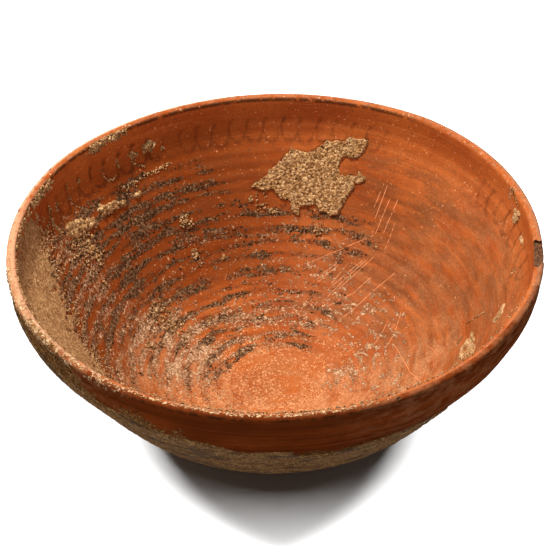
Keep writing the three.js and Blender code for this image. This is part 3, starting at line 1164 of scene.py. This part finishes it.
@dataclass
class ClayBowl:
    """The fired clay wall with its slip and paint. Sizes in millimetres."""

    wall: WallLine
    turn_steps: int = 384
    slices: int = 12
    inside_step: float = 1.0
    outside_step: float = 1.6
    lip_steps: int = 4
    base_rings: tuple[float, ...] = (1.0, 0.97, 0.75, 0.5, 0.25, 0.0)  # shares of the base's radius
    ridge: float = 0.1
    ridge_pitch: float = 5.2
    ridge_start: Pair = (3.0, 12.0)  # lengths down between which the wheel's ridges set in
    ridge_end: Pair = (5.0, 30.0)  # lengths from the floor's middle between which they fade
    chips: tuple[Chip, ...] = (Chip(-7.0, 15.0, 10.0, 3.0), Chip(151.0, 3.2, 2.4, 0.9, 0.9))
    big_chip: float = 6.0  # a chip longer than this is a big one
    big_lump: tuple[int, float] = (4, 2.2)  # its subdivisions, and how fine its bumps are
    small_lump: tuple[int, float] = (2, 1.3)
    lump_depth: float = 0.28  # how uneven a chip is, as a share of its size
    lump_stride: float = 3.7  # how far apart two chips' stretches of noise lie
    small_count: int = 44
    small_seed: int = 11
    small_turns: Pair = (8.0, 352.0)  # clear of the notch
    small_sizes: Pair = (0.8, 1.6)  # the least size, and the most that chance adds
    small_lengths: Pair = (1.2, 2.4)  # shares of the size
    small_depth: float = 0.35  # share of the size
    small_edges: tuple[float, ...] = (0.0, 1.0, 1.0)  # the inner edge, and the outer one twice as often
    sharp_angle: float = 50.0  # degrees between faces that makes an edge sharp

    def profile(self) -> list[Pair]:
        """The half outline, from the middle of the floor over the lip to the middle of the base.

        Returns:
            Radii and heights in millimetres.
        """
        wall = self.wall
        lengths = np.linspace(wall.length, wall.lip_round, round(wall.length / self.inside_step))
        inside = list(zip(*wall.section(lengths, np.zeros_like(lengths))))
        top = wall.height
        outer = wall.rim_radius
        inner = outer - wall.lip_thickness
        inner_end = (inner + wall.lip_round, top)
        outer_start = (outer - wall.lip_round, top)
        outer_end = (outer, top - wall.lip_round)
        shares = np.linspace(0, 1, self.lip_steps + 1)
        lip = [self.bend(inside[-1], (inner, top), inner_end, share) for share in shares[1:]]
        lip.append(((inner + outer) / 2, top))
        lip += [self.bend(outer_start, (outer, top), outer_end, share) for share in shares]
        lengths = np.arange(wall.lip_round + self.outside_step, wall.length, self.outside_step)
        radii, heights = wall.section(lengths, wall.thickness(lengths))
        outside = [(r, z) for r, z in zip(radii, heights) if r > wall.base_radius and z > 0]
        base = [(wall.base_radius * share, 0.0) for share in self.base_rings]
        return inside + lip + outside + base

    @staticmethod
    def bend(start: Pair, corner: Pair, end: Pair, share: float) -> Pair:
        """A point of the curve that rounds a corner, at a share of its way."""
        weights = ((1 - share) ** 2, 2 * (1 - share) * share, share ** 2)
        return tuple(sum(w * p for w, p in zip(weights, parts)) for parts in zip(start, corner, end))

    def spun(self) -> bmesh.types.BMesh:
        """The true round wall.

        Returns:
            Its shape, closed.
        """
        mesh = bmesh.new()
        points = [mesh.verts.new((r * MM, 0, z * MM)) for r, z in self.profile()]
        edges = [mesh.edges.new(pair) for pair in zip(points, points[1:])]
        slice_turn = math.tau / self.slices
        bmesh.ops.spin(
            mesh, geom=points + edges, cent=(0, 0, 0), axis=(0, 0, 1), angle=slice_turn,
            steps=self.turn_steps // self.slices,
        )
        wedge = mesh.verts[:] + mesh.edges[:] + mesh.faces[:]
        for index in range(1, self.slices):
            copied = bmesh.ops.duplicate(mesh, geom=wedge)["geom"]
            verts = [part for part in copied if isinstance(part, bmesh.types.BMVert)]
            turned = Matrix.Rotation(slice_turn * index, 3, "Z")
            bmesh.ops.rotate(mesh, verts=verts, cent=(0, 0, 0), matrix=turned)
        bmesh.ops.remove_doubles(mesh, verts=mesh.verts, dist=MERGE_DISTANCE)
        bmesh.ops.recalc_face_normals(mesh, faces=mesh.faces)
        return mesh

    def all_chips(self) -> list[Chip]:
        """The notch, the chip at the left and the small chips along the lip's two edges.

        Returns:
            The chips in order.
        """
        draw = random.Random(self.small_seed)
        found = list(self.chips)
        for _ in range(self.small_count):
            least, added = self.small_sizes
            size = least + added * draw.random() ** 3
            across = draw.choice(self.small_edges)
            turn = draw.uniform(*self.small_turns)
            length = size * draw.uniform(*self.small_lengths)
            found.append(Chip(turn, length, size, size * self.small_depth, across))
        return found

    def breaker(self) -> bpy.types.Object:
        """Lumps that break the chips out of the lip.

        Returns:
            One object with all the lumps.
        """
        mesh = bmesh.new()
        for index, chip in enumerate(self.all_chips()):
            subdivisions, bumps = self.big_lump if chip.length > self.big_chip else self.small_lump
            radius = self.wall.rim_radius - self.wall.lip_thickness * (1 - chip.across)
            turned = Matrix.Rotation(math.radians(chip.turn), 4, "Z")
            place = turned @ Matrix.Translation((radius * MM, 0, self.wall.height * MM))
            sizes = Vector((chip.width / 2, chip.length / 2, chip.depth)) * MM
            shift = Vector((index * self.lump_stride, 0, 0))
            made = bmesh.ops.create_icosphere(mesh, subdivisions=subdivisions, radius=1.0)
            for vert in made["verts"]:
                lump = noise.fractal(vert.co * bumps + shift, 1.0, 2.0, 4)
                vert.co = place @ (vert.co * (1 + self.lump_depth * lump) * sizes)
        for face in mesh.faces:
            face.material_index = WallSlot.BROKEN
        return new_piece("lip_breaker", mesh, [])

    def build(self) -> bpy.types.Object:
        """Builds the wall, which rides on the frame in place of its node.

        Returns:
            The finished wall.
        """
        materials = [finish.material() for finish in (PaintedInside(), SlippedOutside(), BrokenClay())]
        bowl = new_piece("clay_bowl", self.spun(), materials)
        breaker = self.breaker()
        for material in materials:
            breaker.data.materials.append(material)
        cut = bowl.modifiers.new("chips", "BOOLEAN")
        cut.object = breaker
        cut.operation = "DIFFERENCE"
        cut.solver = "MANIFOLD"
        bpy.context.view_layer.update()
        data = bpy.data.meshes.new_from_object(bowl.evaluated_get(bpy.context.evaluated_depsgraph_get()))
        bowl.modifiers.clear()
        bowl.data = data
        data.name = "clay_bowl"
        bpy.data.objects.remove(breaker)
        self.finish(data)
        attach(bowl, BODY)
        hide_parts("bowl_body")
        return bowl

    def finish(self, data: bpy.types.Mesh) -> None:
        """Gives the wall its hand-made shape, its places for the finishes and its material slots.

        Args:
            data: the true round wall with its chips.
        """
        points = read_points(data)
        turn = np.degrees(np.arctan2(points[:, 1], points[:, 0]))
        radius = np.hypot(points[:, 0], points[:, 1])
        down, out = self.wall.find(radius, points[:, 2])
        outer = np.clip(out / self.wall.thickness(down), 0, 1)
        for name, values in ((WallGraph.DOWN, down), (WallGraph.OUTER, outer)):
            data.attributes.new(name, "FLOAT", "POINT").data.foreach_set("value", values.astype(np.float32))
        ridges = np.sin(math.tau * (down / self.ridge_pitch + turn / 360)) * self.ridge
        ridges *= smooth_step(down, *self.ridge_start)
        ridges *= smooth_step(self.wall.length - down, *self.ridge_end)
        moved = radius + self.wall.shift(turn, down) + ridges
        share = moved / np.maximum(radius, NEAR_ZERO)
        points[:, :2] *= share[:, None]
        low, high = (np.array(corner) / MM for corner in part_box("bowl_body"))
        write_points(data, np.clip(points, low, high))
        slots = np.array([poly.material_index for poly in data.polygons])
        middles = np.array([np.mean(outer[list(poly.vertices)]) for poly in data.polygons])
        slots[(slots != WallSlot.BROKEN) & (middles > 0.5)] = WallSlot.OUTSIDE
        data.polygons.foreach_set("material_index", slots.astype(np.int32))
        data.set_sharp_from_angle(angle=math.radians(self.sharp_angle))


class Side(Enum):
    """The face of the wall that soil lies on."""

    INSIDE = -1.0
    OUTSIDE = 1.0


@dataclass
class SoilFlake:
    """A flake of dried soil, roughened from its plain solid. Sizes in millimetres."""

    node: str
    wall: WallLine
    side: Side
    thickness: float
    finish: bpy.types.Material
    slot: str
    facet: float  # usual length of its mesh's edges
    ragged: float  # how far its outline is worn back
    relief: float  # height of its lumps
    relief_size: float
    solid: float  # thickness of the plain solid
    edge_size: float  # size of the bays in its outline
    taper: float = 0.7  # width of the slope at its edge
    fray: float = 0.7  # how unevenly its outline is worn
    grow: float = 0.4  # how far it is spread to make up for the wear
    bedding: float = 0.3  # gap between the plain solid and the wall
    bury: float = 0.6  # how deep its underside lies in the wall
    worn_depth: float = 0.25  # how deep its surface lies in the wall where it is worn away
    holes: tuple[tuple[float, float, float], ...] = ()  # turn, length down, radius
    hole_fray: float = 0.5
    hole_edge_size: float = 1.6
    joints: tuple[float, ...] = ()  # turns where it meets the next flake
    joint_reach: float = 0.4  # degrees
    edge_angle: float = 45.0  # degrees between the solid's faces that makes an edge
    edge_step: float = 0.4
    most_splits: int = 9
    split_length: float = 1.4  # an edge longer than this many facets is split

    def joined(self, edge: bmesh.types.BMEdge) -> bool:
        """Whether an edge lies where the flake meets the next one.

        Args:
            edge: an edge of the plain solid.

        Returns:
            True if it does.
        """
        middle = edge.verts[0].co + edge.verts[1].co
        turn = math.degrees(math.atan2(middle.y, middle.x))
        return any(abs(turn - joint) < self.joint_reach for joint in self.joints)

    def outline(self, mesh: bmesh.types.BMesh) -> KDTree:
        """Points close together along the flake's edge.

        Args:
            mesh: the plain solid.

        Returns:
            The points' tree, in millimetres.
        """
        points = []
        for edge in mesh.edges:
            if edge.calc_face_angle(0.0) > math.radians(self.edge_angle) and not self.joined(edge):
                first, last = (vert.co / MM for vert in edge.verts)
                steps = max(1, math.ceil((last - first).length / self.edge_step))
                points += [first.lerp(last, step / steps) for step in range(steps + 1)]
        return point_tree(points)

    def refine(self, mesh: bmesh.types.BMesh) -> None:
        """Splits long edges until the facets are small.

        Args:
            mesh: the plain solid, which is changed.
        """
        longest = self.facet * MM * self.split_length
        for _ in range(self.most_splits):
            long_edges = [edge for edge in mesh.edges if edge.calc_length() > longest]
            if not long_edges:
                break
            bmesh.ops.subdivide_edges(mesh, edges=long_edges, cuts=1)
            bmesh.ops.triangulate(mesh, faces=mesh.faces)

    def crest(self, points: np.ndarray, edge: np.ndarray, turn: np.ndarray, down: np.ndarray) -> np.ndarray:
        """The height of the flake's surface over the wall; below 0 it is worn away.

        Args:
            points: rows of x, y, z in millimetres.
            edge: distances from the flake's edge.
            turn: degrees from +X.
            down: lengths down the inside line.

        Returns:
            One height for each point.
        """
        fray = self.fray * roughness_at(points, self.edge_size, octaves=5, seed=3.0)
        inward = edge - self.ragged * (0.5 + fray)
        for hole_turn, hole_down, hole_radius in self.holes:
            radius, _ = self.wall.section(down, np.zeros_like(down))
            gap = np.hypot(np.radians(turn - hole_turn) * radius, down - hole_down) - hole_radius
            fray = self.hole_fray * roughness_at(points, self.hole_edge_size, octaves=3, seed=9.0)
            inward = np.minimum(inward, gap + fray)
        body = smooth_step(inward, 0.0, self.taper)
        lumps = roughness_at(points, self.relief_size, octaves=4, seed=5.0) * self.relief
        return -self.worn_depth + body * (self.thickness + self.worn_depth + lumps)

    def grown(self, turn: np.ndarray, down: np.ndarray) -> tuple[np.ndarray, np.ndarray]:
        """Spreads the flake from its middle by what its ragged edge takes away.

        Args:
            turn: degrees from +X.
            down: lengths down the inside line.

        Returns:
            The new turns and lengths.
        """
        spread = []
        radius, _ = self.wall.section(down, np.zeros_like(down))
        for values, size in ((turn, math.radians(1) * radius.mean()), (down, 1.0)):
            low, high = values.min(), values.max()
            stretch = 1 + 2 * self.grow / ((high - low) * size)
            spread.append((low + high) / 2 + (values - (low + high) / 2) * stretch)
        return spread[0], np.maximum(spread[1], 0.0)

    def build(self) -> bpy.types.Object:
        """Builds the flake, which rides on the frame in place of its node.

        Returns:
            The finished flake.
        """
        mesh = bmesh.new()
        mesh.from_mesh(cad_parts[self.node].data)
        bmesh.ops.remove_doubles(mesh, verts=mesh.verts, dist=MERGE_DISTANCE)
        edge_points = self.outline(mesh)
        self.refine(mesh)
        piece = new_piece(self.node + "_soil", mesh, [self.finish])
        points = read_points(piece.data)
        middle = math.degrees(math.atan2(points[:, 1].mean(), points[:, 0].mean()))
        turn = middle + (np.degrees(np.arctan2(points[:, 1], points[:, 0])) - middle + 180) % 360 - 180
        down, out = self.wall.find(np.hypot(points[:, 0], points[:, 1]), points[:, 2])
        surface = self.wall.thickness(down) if self.side is Side.OUTSIDE else np.zeros_like(down)
        lift = (out - surface) * self.side.value
        share = np.clip((lift - self.bedding) / self.solid, 0, 1)
        edge = np.array([edge_points.find(point)[2] for point in points])
        crest = self.crest(points, edge, turn, down)
        turn, down = self.grown(turn, down)
        lift = -self.bury + (crest + self.bury) * share
        write_points(piece.data, self.wall.place(turn, down, surface + lift * self.side.value))
        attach(piece, BODY)
        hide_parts(self.node)
        return piece


@dataclass(frozen=True)
class Cluster:
    """A spread of soil grains: its turns, lengths down, how many and how big."""

    turns: Pair
    downs: Pair
    count: int
    size: Pair
    side: Side = Side.INSIDE

    def spot(self, draw: random.Random) -> Pair:
        """A place in it, more often near the middle: turn and length down."""
        low, high = zip(self.turns, self.downs)
        return tuple(a + (b - a) * (draw.random() + draw.random()) / 2 for a, b in zip(low, high))


@dataclass(frozen=True)
class Trail:
    """A line of soil grains along given turns and lengths down: how many, how big and how wide."""

    TURN_SPREAD = 0.2  # degrees for each millimetre of width
    DOWN_SPREAD = 0.3  # millimetres for each millimetre of width
    LAST_POINT = 1.001  # keeps a draw just short of the last point

    points: tuple[Pair, ...]
    count: int
    size: Pair
    width: float
    side: Side = Side.INSIDE

    def spot(self, draw: random.Random) -> Pair:
        """A place near the line.

        Args:
            draw: the random numbers.

        Returns:
            Its turn and length down.
        """
        place = draw.uniform(0, len(self.points) - self.LAST_POINT)
        start, end = self.points[int(place)], self.points[int(place) + 1]
        turn, down = (a + (b - a) * (place % 1) for a, b in zip(start, end))
        turn += draw.gauss(0, self.width * self.TURN_SPREAD)
        down += draw.gauss(0, self.width * self.DOWN_SPREAD)
        return turn, max(0.0, down)


@dataclass
class SoilGrains:
    """Loose grains and crumbs of soil that stick to the wall."""

    wall: WallLine
    finish: bpy.types.Material
    seed: int = 5
    stand: float = 0.15  # how far a grain's middle stands off the wall, as a share of its size
    stretch: Pair = (0.6, 1.2)  # least and most share of its size along each axis
    clusters: tuple[Cluster, ...] = (
        Cluster((73, 76), (54, 58), 26, (0.3, 0.8)),
        Cluster((90, 97), (40, 51), 30, (0.3, 0.7)),
        Cluster((95.6, 97.6), (41.6, 44.6), 22, (0.3, 0.7)),
        Cluster((88.4, 92), (47.4, 49.8), 26, (0.3, 0.6)),
        Cluster((135.4, 138.6), (0.6, 5.0), 60, (0.4, 0.9)),
        Cluster((116, 121), (42.5, 50), 40, (0.3, 0.8)),
        Cluster((117.5, 120.5), (58, 63.5), 30, (0.4, 0.9)),
        Cluster((108, 110), (64, 66.5), 14, (0.3, 0.7)),
        Cluster((150, 154), (31, 45), 60, (0.3, 0.8)),
        Cluster((155, 157), (48, 51), 16, (0.3, 0.7)),
        Cluster((140, 153), (69, 90), 120, (0.3, 0.8)),
        Cluster((162, 167), (77, 81), 24, (0.3, 0.7)),
        Cluster((126, 130), (87.5, 89.5), 14, (0.3, 0.7)),
        Cluster((0, 1.5), (19, 23.5), 16, (0.2, 0.5)),
        Cluster((52.4, 53.6), (55, 56.5), 14, (0.25, 0.5)),
        Cluster((127, 140), (0.1, 3.4), 90, (0.4, 1.0)),
        Cluster((152, 166), (0.2, 5.0), 110, (0.4, 0.9)),
        Cluster((164, 180), (0.3, 4.0), 70, (0.3, 0.7)),
        Cluster((184, 216), (0.1, 1.6), 90, (0.25, 0.6)),
        Cluster((184, 216), (0.5, 3.0), 90, (0.25, 0.6), Side.OUTSIDE),
        Cluster((200, 340), (0.0, 1.3), 420, (0.2, 0.45)),
        Cluster((158, 166), (9, 24), 70, (0.3, 0.6)),
        Cluster((163, 173), (20, 36), 80, (0.3, 0.6)),
        Cluster((171, 185), (33, 50), 90, (0.3, 0.6)),
        Cluster((182, 196), (44, 66), 90, (0.3, 0.6)),
        Cluster((144, 158), (24, 34), 60, (0.3, 0.6)),
        Cluster((148, 160), (23, 44), 110, (0.3, 0.7)),
        Cluster((125, 128), (11.4, 15), 30, (0.3, 0.8)),
        Cluster((118, 118.8), (13.4, 16), 12, (0.3, 0.6)),
    )
    trails: tuple[Trail, ...] = (
        Trail(((147.6, 9.2), (148.2, 13.6), (148.8, 17.6), (147.4, 20.2)), 34, (0.2, 0.45), 0.9),
        Trail(((136.2, 12.6), (136.4, 16), (135.8, 18.2), (134.4, 19), (132.8, 17.4)), 44, (0.2, 0.45), 0.8),
        Trail(((126.6, 12), (127.2, 13.8), (127, 16.6), (126, 18.6), (124, 19.6)), 44, (0.25, 0.55), 1.2),
        Trail(((132.4, 24), (128.8, 23.8), (124.4, 23), (120.6, 22.4), (117.6, 21.8)), 90, (0.25, 0.55), 1.8),
        Trail(((131.4, 12.2), (131.4, 15.8)), 22, (0.25, 0.5), 1.0),
        Trail(((156, 10.6), (157.4, 15.8), (157.6, 19.6), (157.2, 22)), 60, (0.25, 0.6), 1.6),
        Trail(((153, 12.4), (154.4, 15.2)), 16, (0.2, 0.5), 1.0),
        Trail(((143.6, 10.2), (143.8, 12.4)), 14, (0.25, 0.5), 1.0),
        Trail(((18, 0.4), (15.8, 2), (12.8, 3.4)), 30, (0.2, 0.45), 1.2),
        Trail(((-0.8, 50.2), (-2, 44.2), (-3.6, 38.4)), 44, (0.2, 0.42), 0.5),
        Trail(((-6.8, 55.8), (-4.8, 51.8)), 26, (0.2, 0.4), 0.6),
        Trail(((-15, 24), (-13.2, 21.6)), 12, (0.15, 0.3), 0.4),
    )

    def build(self) -> bpy.types.Object:
        """Builds all the grains as one piece that rides on the frame.

        Returns:
            The finished piece.
        """
        draw = random.Random(self.seed)
        mesh = bmesh.new()
        for spread in (*self.clusters, *self.trails):
            for _ in range(spread.count):
                self.grain(mesh, spread, draw)
        piece = new_piece("soil_grains", mesh, [self.finish])
        low, high = (np.array(corner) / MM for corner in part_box("bowl_body"))
        write_points(piece.data, np.clip(read_points(piece.data), low, high))
        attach(piece, BODY)
        return piece

    def grain(self, mesh: bmesh.types.BMesh, spread: Cluster | Trail, draw: random.Random) -> None:
        """One grain of a cluster or a trail.

        Args:
            mesh: where it is added.
            spread: what it belongs to.
            draw: the random numbers.
        """
        turn, down = (np.array([value]) for value in spread.spot(draw))
        size = draw.uniform(*spread.size)
        surface = self.wall.thickness(down) if spread.side is Side.OUTSIDE else np.zeros_like(down)
        place = self.wall.place(turn, down, surface + self.stand * size * spread.side.value)[0] * MM
        spin = Quaternion([draw.gauss(0, 1) for _ in range(4)]).normalized().to_matrix().to_4x4()
        axes = Vector([draw.uniform(*self.stretch) for _ in range(3)]) * size * MM
        placed = Matrix.Translation(place) @ spin @ Matrix.Diagonal((*axes, 1))
        bmesh.ops.create_icosphere(mesh, subdivisions=1, radius=1.0, matrix=placed)


class Lit(Enum):
    """What a lamp lights, as the floor's state in its light linking."""

    FLOOR_ALONE = "INCLUDE"
    ALL_BUT_FLOOR = "EXCLUDE"


@dataclass(frozen=True)
class Lamp:
    """A soft square light: its bearing and height in degrees, distance and side in metres, and watts."""

    name: str
    bearing: float
    rise: float
    distance: float
    side: float
    power: float
    colour: Rgb = (1.0, 1.0, 1.0)


@dataclass
class Studio:
    """Pale floor, soft lights and the camera at the photograph's angle. Metres."""

    camera_place: tuple[float, float, float] = (0.0, -0.63639, 0.56278)
    camera_aim: tuple[float, float, float] = (0.00021, 0.0, 0.06088)
    camera_roll: float = -1.39  # degrees
    lens: float = 140.19  # millimetres
    sensor: float = 36.0  # millimetres
    floor_radius: float = 4.0
    floor_sides: int = 64
    centre: tuple[float, float, float] = (0.0, 0.0, 0.05)
    bowl_lamps: tuple[Lamp, ...] = (
        Lamp("key", 140.0, 70.0, 1.25, 0.22, 24.0, (1.0, 0.97, 0.93)),
        Lamp("left_fill", 175.0, 22.0, 1.25, 0.6, 1.5),
        Lamp("right_fill", 0.0, 22.0, 1.25, 0.6, 3.0),
        Lamp("front_fill", -85.0, 20.0, 1.4, 1.0, 7.0),
        Lamp("left_low", 202.0, 8.0, 1.25, 0.3, 3.0),
        Lamp("top_fill", 90.0, 86.0, 1.3, 1.2, 2.8),
        Lamp("back_fill", 80.0, 12.0, 1.4, 0.8, 6.0),
    )
    floor_lamps: tuple[Lamp, ...] = (
        Lamp("floor_left", 180.0, 51.5, 2.0, 0.26, 60.0),
        Lamp("floor_right", 0.0, 51.5, 2.0, 0.26, 60.0),
        Lamp("floor_front", -90.0, 68.0, 2.0, 1.1, 52.0),
    )
    sky_strength: float = 0.06

    def build(self) -> None:
        """The floor, the lights and the camera."""
        floor = self.floor()
        for lamp in self.bowl_lamps:
            self.light(lamp, floor, Lit.ALL_BUT_FLOOR)
        for lamp in self.floor_lamps:
            self.light(lamp, floor, Lit.FLOOR_ALONE)
        self.sky()
        self.camera()
        bpy.context.scene.view_settings.view_transform = "Standard"

    def floor(self) -> bpy.types.Object:
        """A plain pale floor under the bowl.

        Returns:
            The floor.
        """
        mesh = bmesh.new()
        bmesh.ops.create_circle(mesh, cap_ends=True, segments=self.floor_sides, radius=self.floor_radius)
        floor = new_piece("floor", mesh, [PaleFloor().material()])
        floor.visible_diffuse = False  # so that the white floor doesn't light the bowl from below
        return floor

    def light(self, lamp: Lamp, floor: bpy.types.Object, lit: Lit) -> None:
        """A light aimed at the bowl.

        Args:
            lamp: its place, size and power.
            floor: the studio's floor.
            lit: what it lights.
        """
        bulb = bpy.data.lights.new(lamp.name, "AREA")
        bulb.size = lamp.side
        bulb.energy = lamp.power
        bulb.color = lamp.colour
        holder = bpy.data.objects.new(lamp.name, bulb)
        bearing = Matrix.Rotation(math.radians(lamp.bearing), 3, "Z")
        rise = Matrix.Rotation(math.radians(-lamp.rise), 3, "Y")
        reach = bearing @ rise @ Vector((lamp.distance, 0, 0))
        holder.location = Vector(self.centre) + reach
        holder.rotation_euler = (-reach).to_track_quat("-Z", "Y").to_euler()
        bpy.context.scene.collection.objects.link(holder)
        linked = bpy.data.collections.new(lamp.name + "_floor")
        linked.objects.link(floor)
        linked.collection_objects[0].light_linking.link_state = lit.value
        holder.light_linking.receiver_collection = linked

    def sky(self) -> None:
        """A weak even light from all round."""
        world = bpy.data.worlds.new("studio")
        world.use_nodes = True
        inputs = world.node_tree.nodes["Background"].inputs
        inputs["Color"].default_value = (1.0, 1.0, 1.0, 1.0)
        inputs["Strength"].default_value = self.sky_strength
        bpy.context.scene.world = world

    def camera(self) -> None:
        """The camera, rolled as the photograph is."""
        lens = bpy.data.cameras.new("camera")
        lens.lens = self.lens
        lens.sensor_width = self.sensor
        holder = bpy.data.objects.new("camera", lens)
        holder.location = self.camera_place
        aim = (Vector(self.camera_aim) - Vector(self.camera_place)).to_track_quat("-Z", "Y")
        holder.rotation_euler = (aim @ Quaternion((0, 0, 1), math.radians(self.camera_roll))).to_euler()
        bpy.context.scene.collection.objects.link(holder)
        bpy.context.scene.camera = holder


def soil_flakes(wall: WallLine) -> list[SoilFlake]:
    """Every flake of soil, inside and outside.

    Args:
        wall: the wall that they lie on.

    Returns:
        The flakes in order.
    """
    soils = (
        DriedSoil("pale_soil", SOIL_TONES, grain_size=0.7, lump=1.0, lump_size=0.9),
        DriedSoil("fine_soil", FINE_SOIL_TONES, grain_size=0.6, lump=0.8, lump_size=1.0),
        DriedSoil("dark_soil", OUTER_SOIL_TONES, grain_size=0.7, lump=1.6, along=3.0, clouds=0.85),
        # painted light: a lighter copy of the soil for the flakes on the brightly lit right wall
        DriedSoil("painted_light_soil", PAINTED_LIGHT_SOIL_TONES, grain_size=0.7, lump=1.0, lump_size=0.9),
    )
    pale, fine, dark, painted_light = (soil.material() for soil in soils)
    flakes = [
        SoilFlake(
            "crust_back_wall", wall, Side.INSIDE, 0.8, pale, "pale_soil",
            facet=0.34, ragged=1.0, taper=0.25, relief=0.42, relief_size=0.9, solid=1.5, edge_size=1.8,
        ),
        SoilFlake(
            "crust_left_wall", wall, Side.INSIDE, 0.5, fine, "pale_soil",
            facet=0.5, ragged=5.0, fray=1.6, relief=0.2, relief_size=4.0, taper=0.9, solid=0.9, edge_size=2.2,
            grow=2.4, holes=((170, 14.5, 1.6),),
        ),
    ]
    left = (
        "crust_left_spur", "crust_left_bit", "crust_left_crumb", "crust_hook_dab", "crust_rim_left",
        "crust_rim_far_left",
    )
    for node in left:
        flakes.append(SoilFlake(
            node, wall, Side.INSIDE, 1.2, pale, "pale_soil",
            facet=0.35, ragged=1.3, relief=0.7, relief_size=1.0, solid=0.9, edge_size=1.6, grow=1.3,
        ))
    for node in ("crust_right_upper", "crust_right_rim", "crust_right_dab", "crust_right_lower"):
        holes = ((-13.8, 48.7, 1.2),) if node == "crust_right_lower" else ()
        flakes.append(SoilFlake(
            node, wall, Side.INSIDE, 0.7, painted_light, "pale_soil",
            facet=0.35, ragged=1.0, relief=0.4, relief_size=1.0, solid=0.9, edge_size=1.8, grow=0.7,
            holes=holes,
        ))
    for node in ("crust_outer_left", "crust_outer_front", "crust_outer_right"):
        flakes.append(SoilFlake(
            node, wall, Side.OUTSIDE, 0.45, dark, "dark_soil",
            facet=0.7, ragged=1.6, taper=2.5, relief=0.22, relief_size=1.5, solid=1.0, edge_size=5.0,
            joints=(-118.0, -87.0),
        ))
    return flakes


def main() -> None:
    """Builds every piece in order and reports it."""
    logging.basicConfig(level=logging.INFO, format="%(message)s")
    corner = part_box("bowl_body")[1]
    wall = WallLine(rim_radius=corner.y / MM, height=corner.z / MM)
    Studio().build()
    pieces = [ClayBowl(wall).build()]
    flakes = soil_flakes(wall)
    pieces += [flake.build() for flake in flakes]
    pieces.append(SoilGrains(wall, flakes[0].finish).build())
    for piece in pieces:
        log.info("%s: %d faces", piece.name, len(piece.data.polygons))


if __name__ == "__main__":
    main()
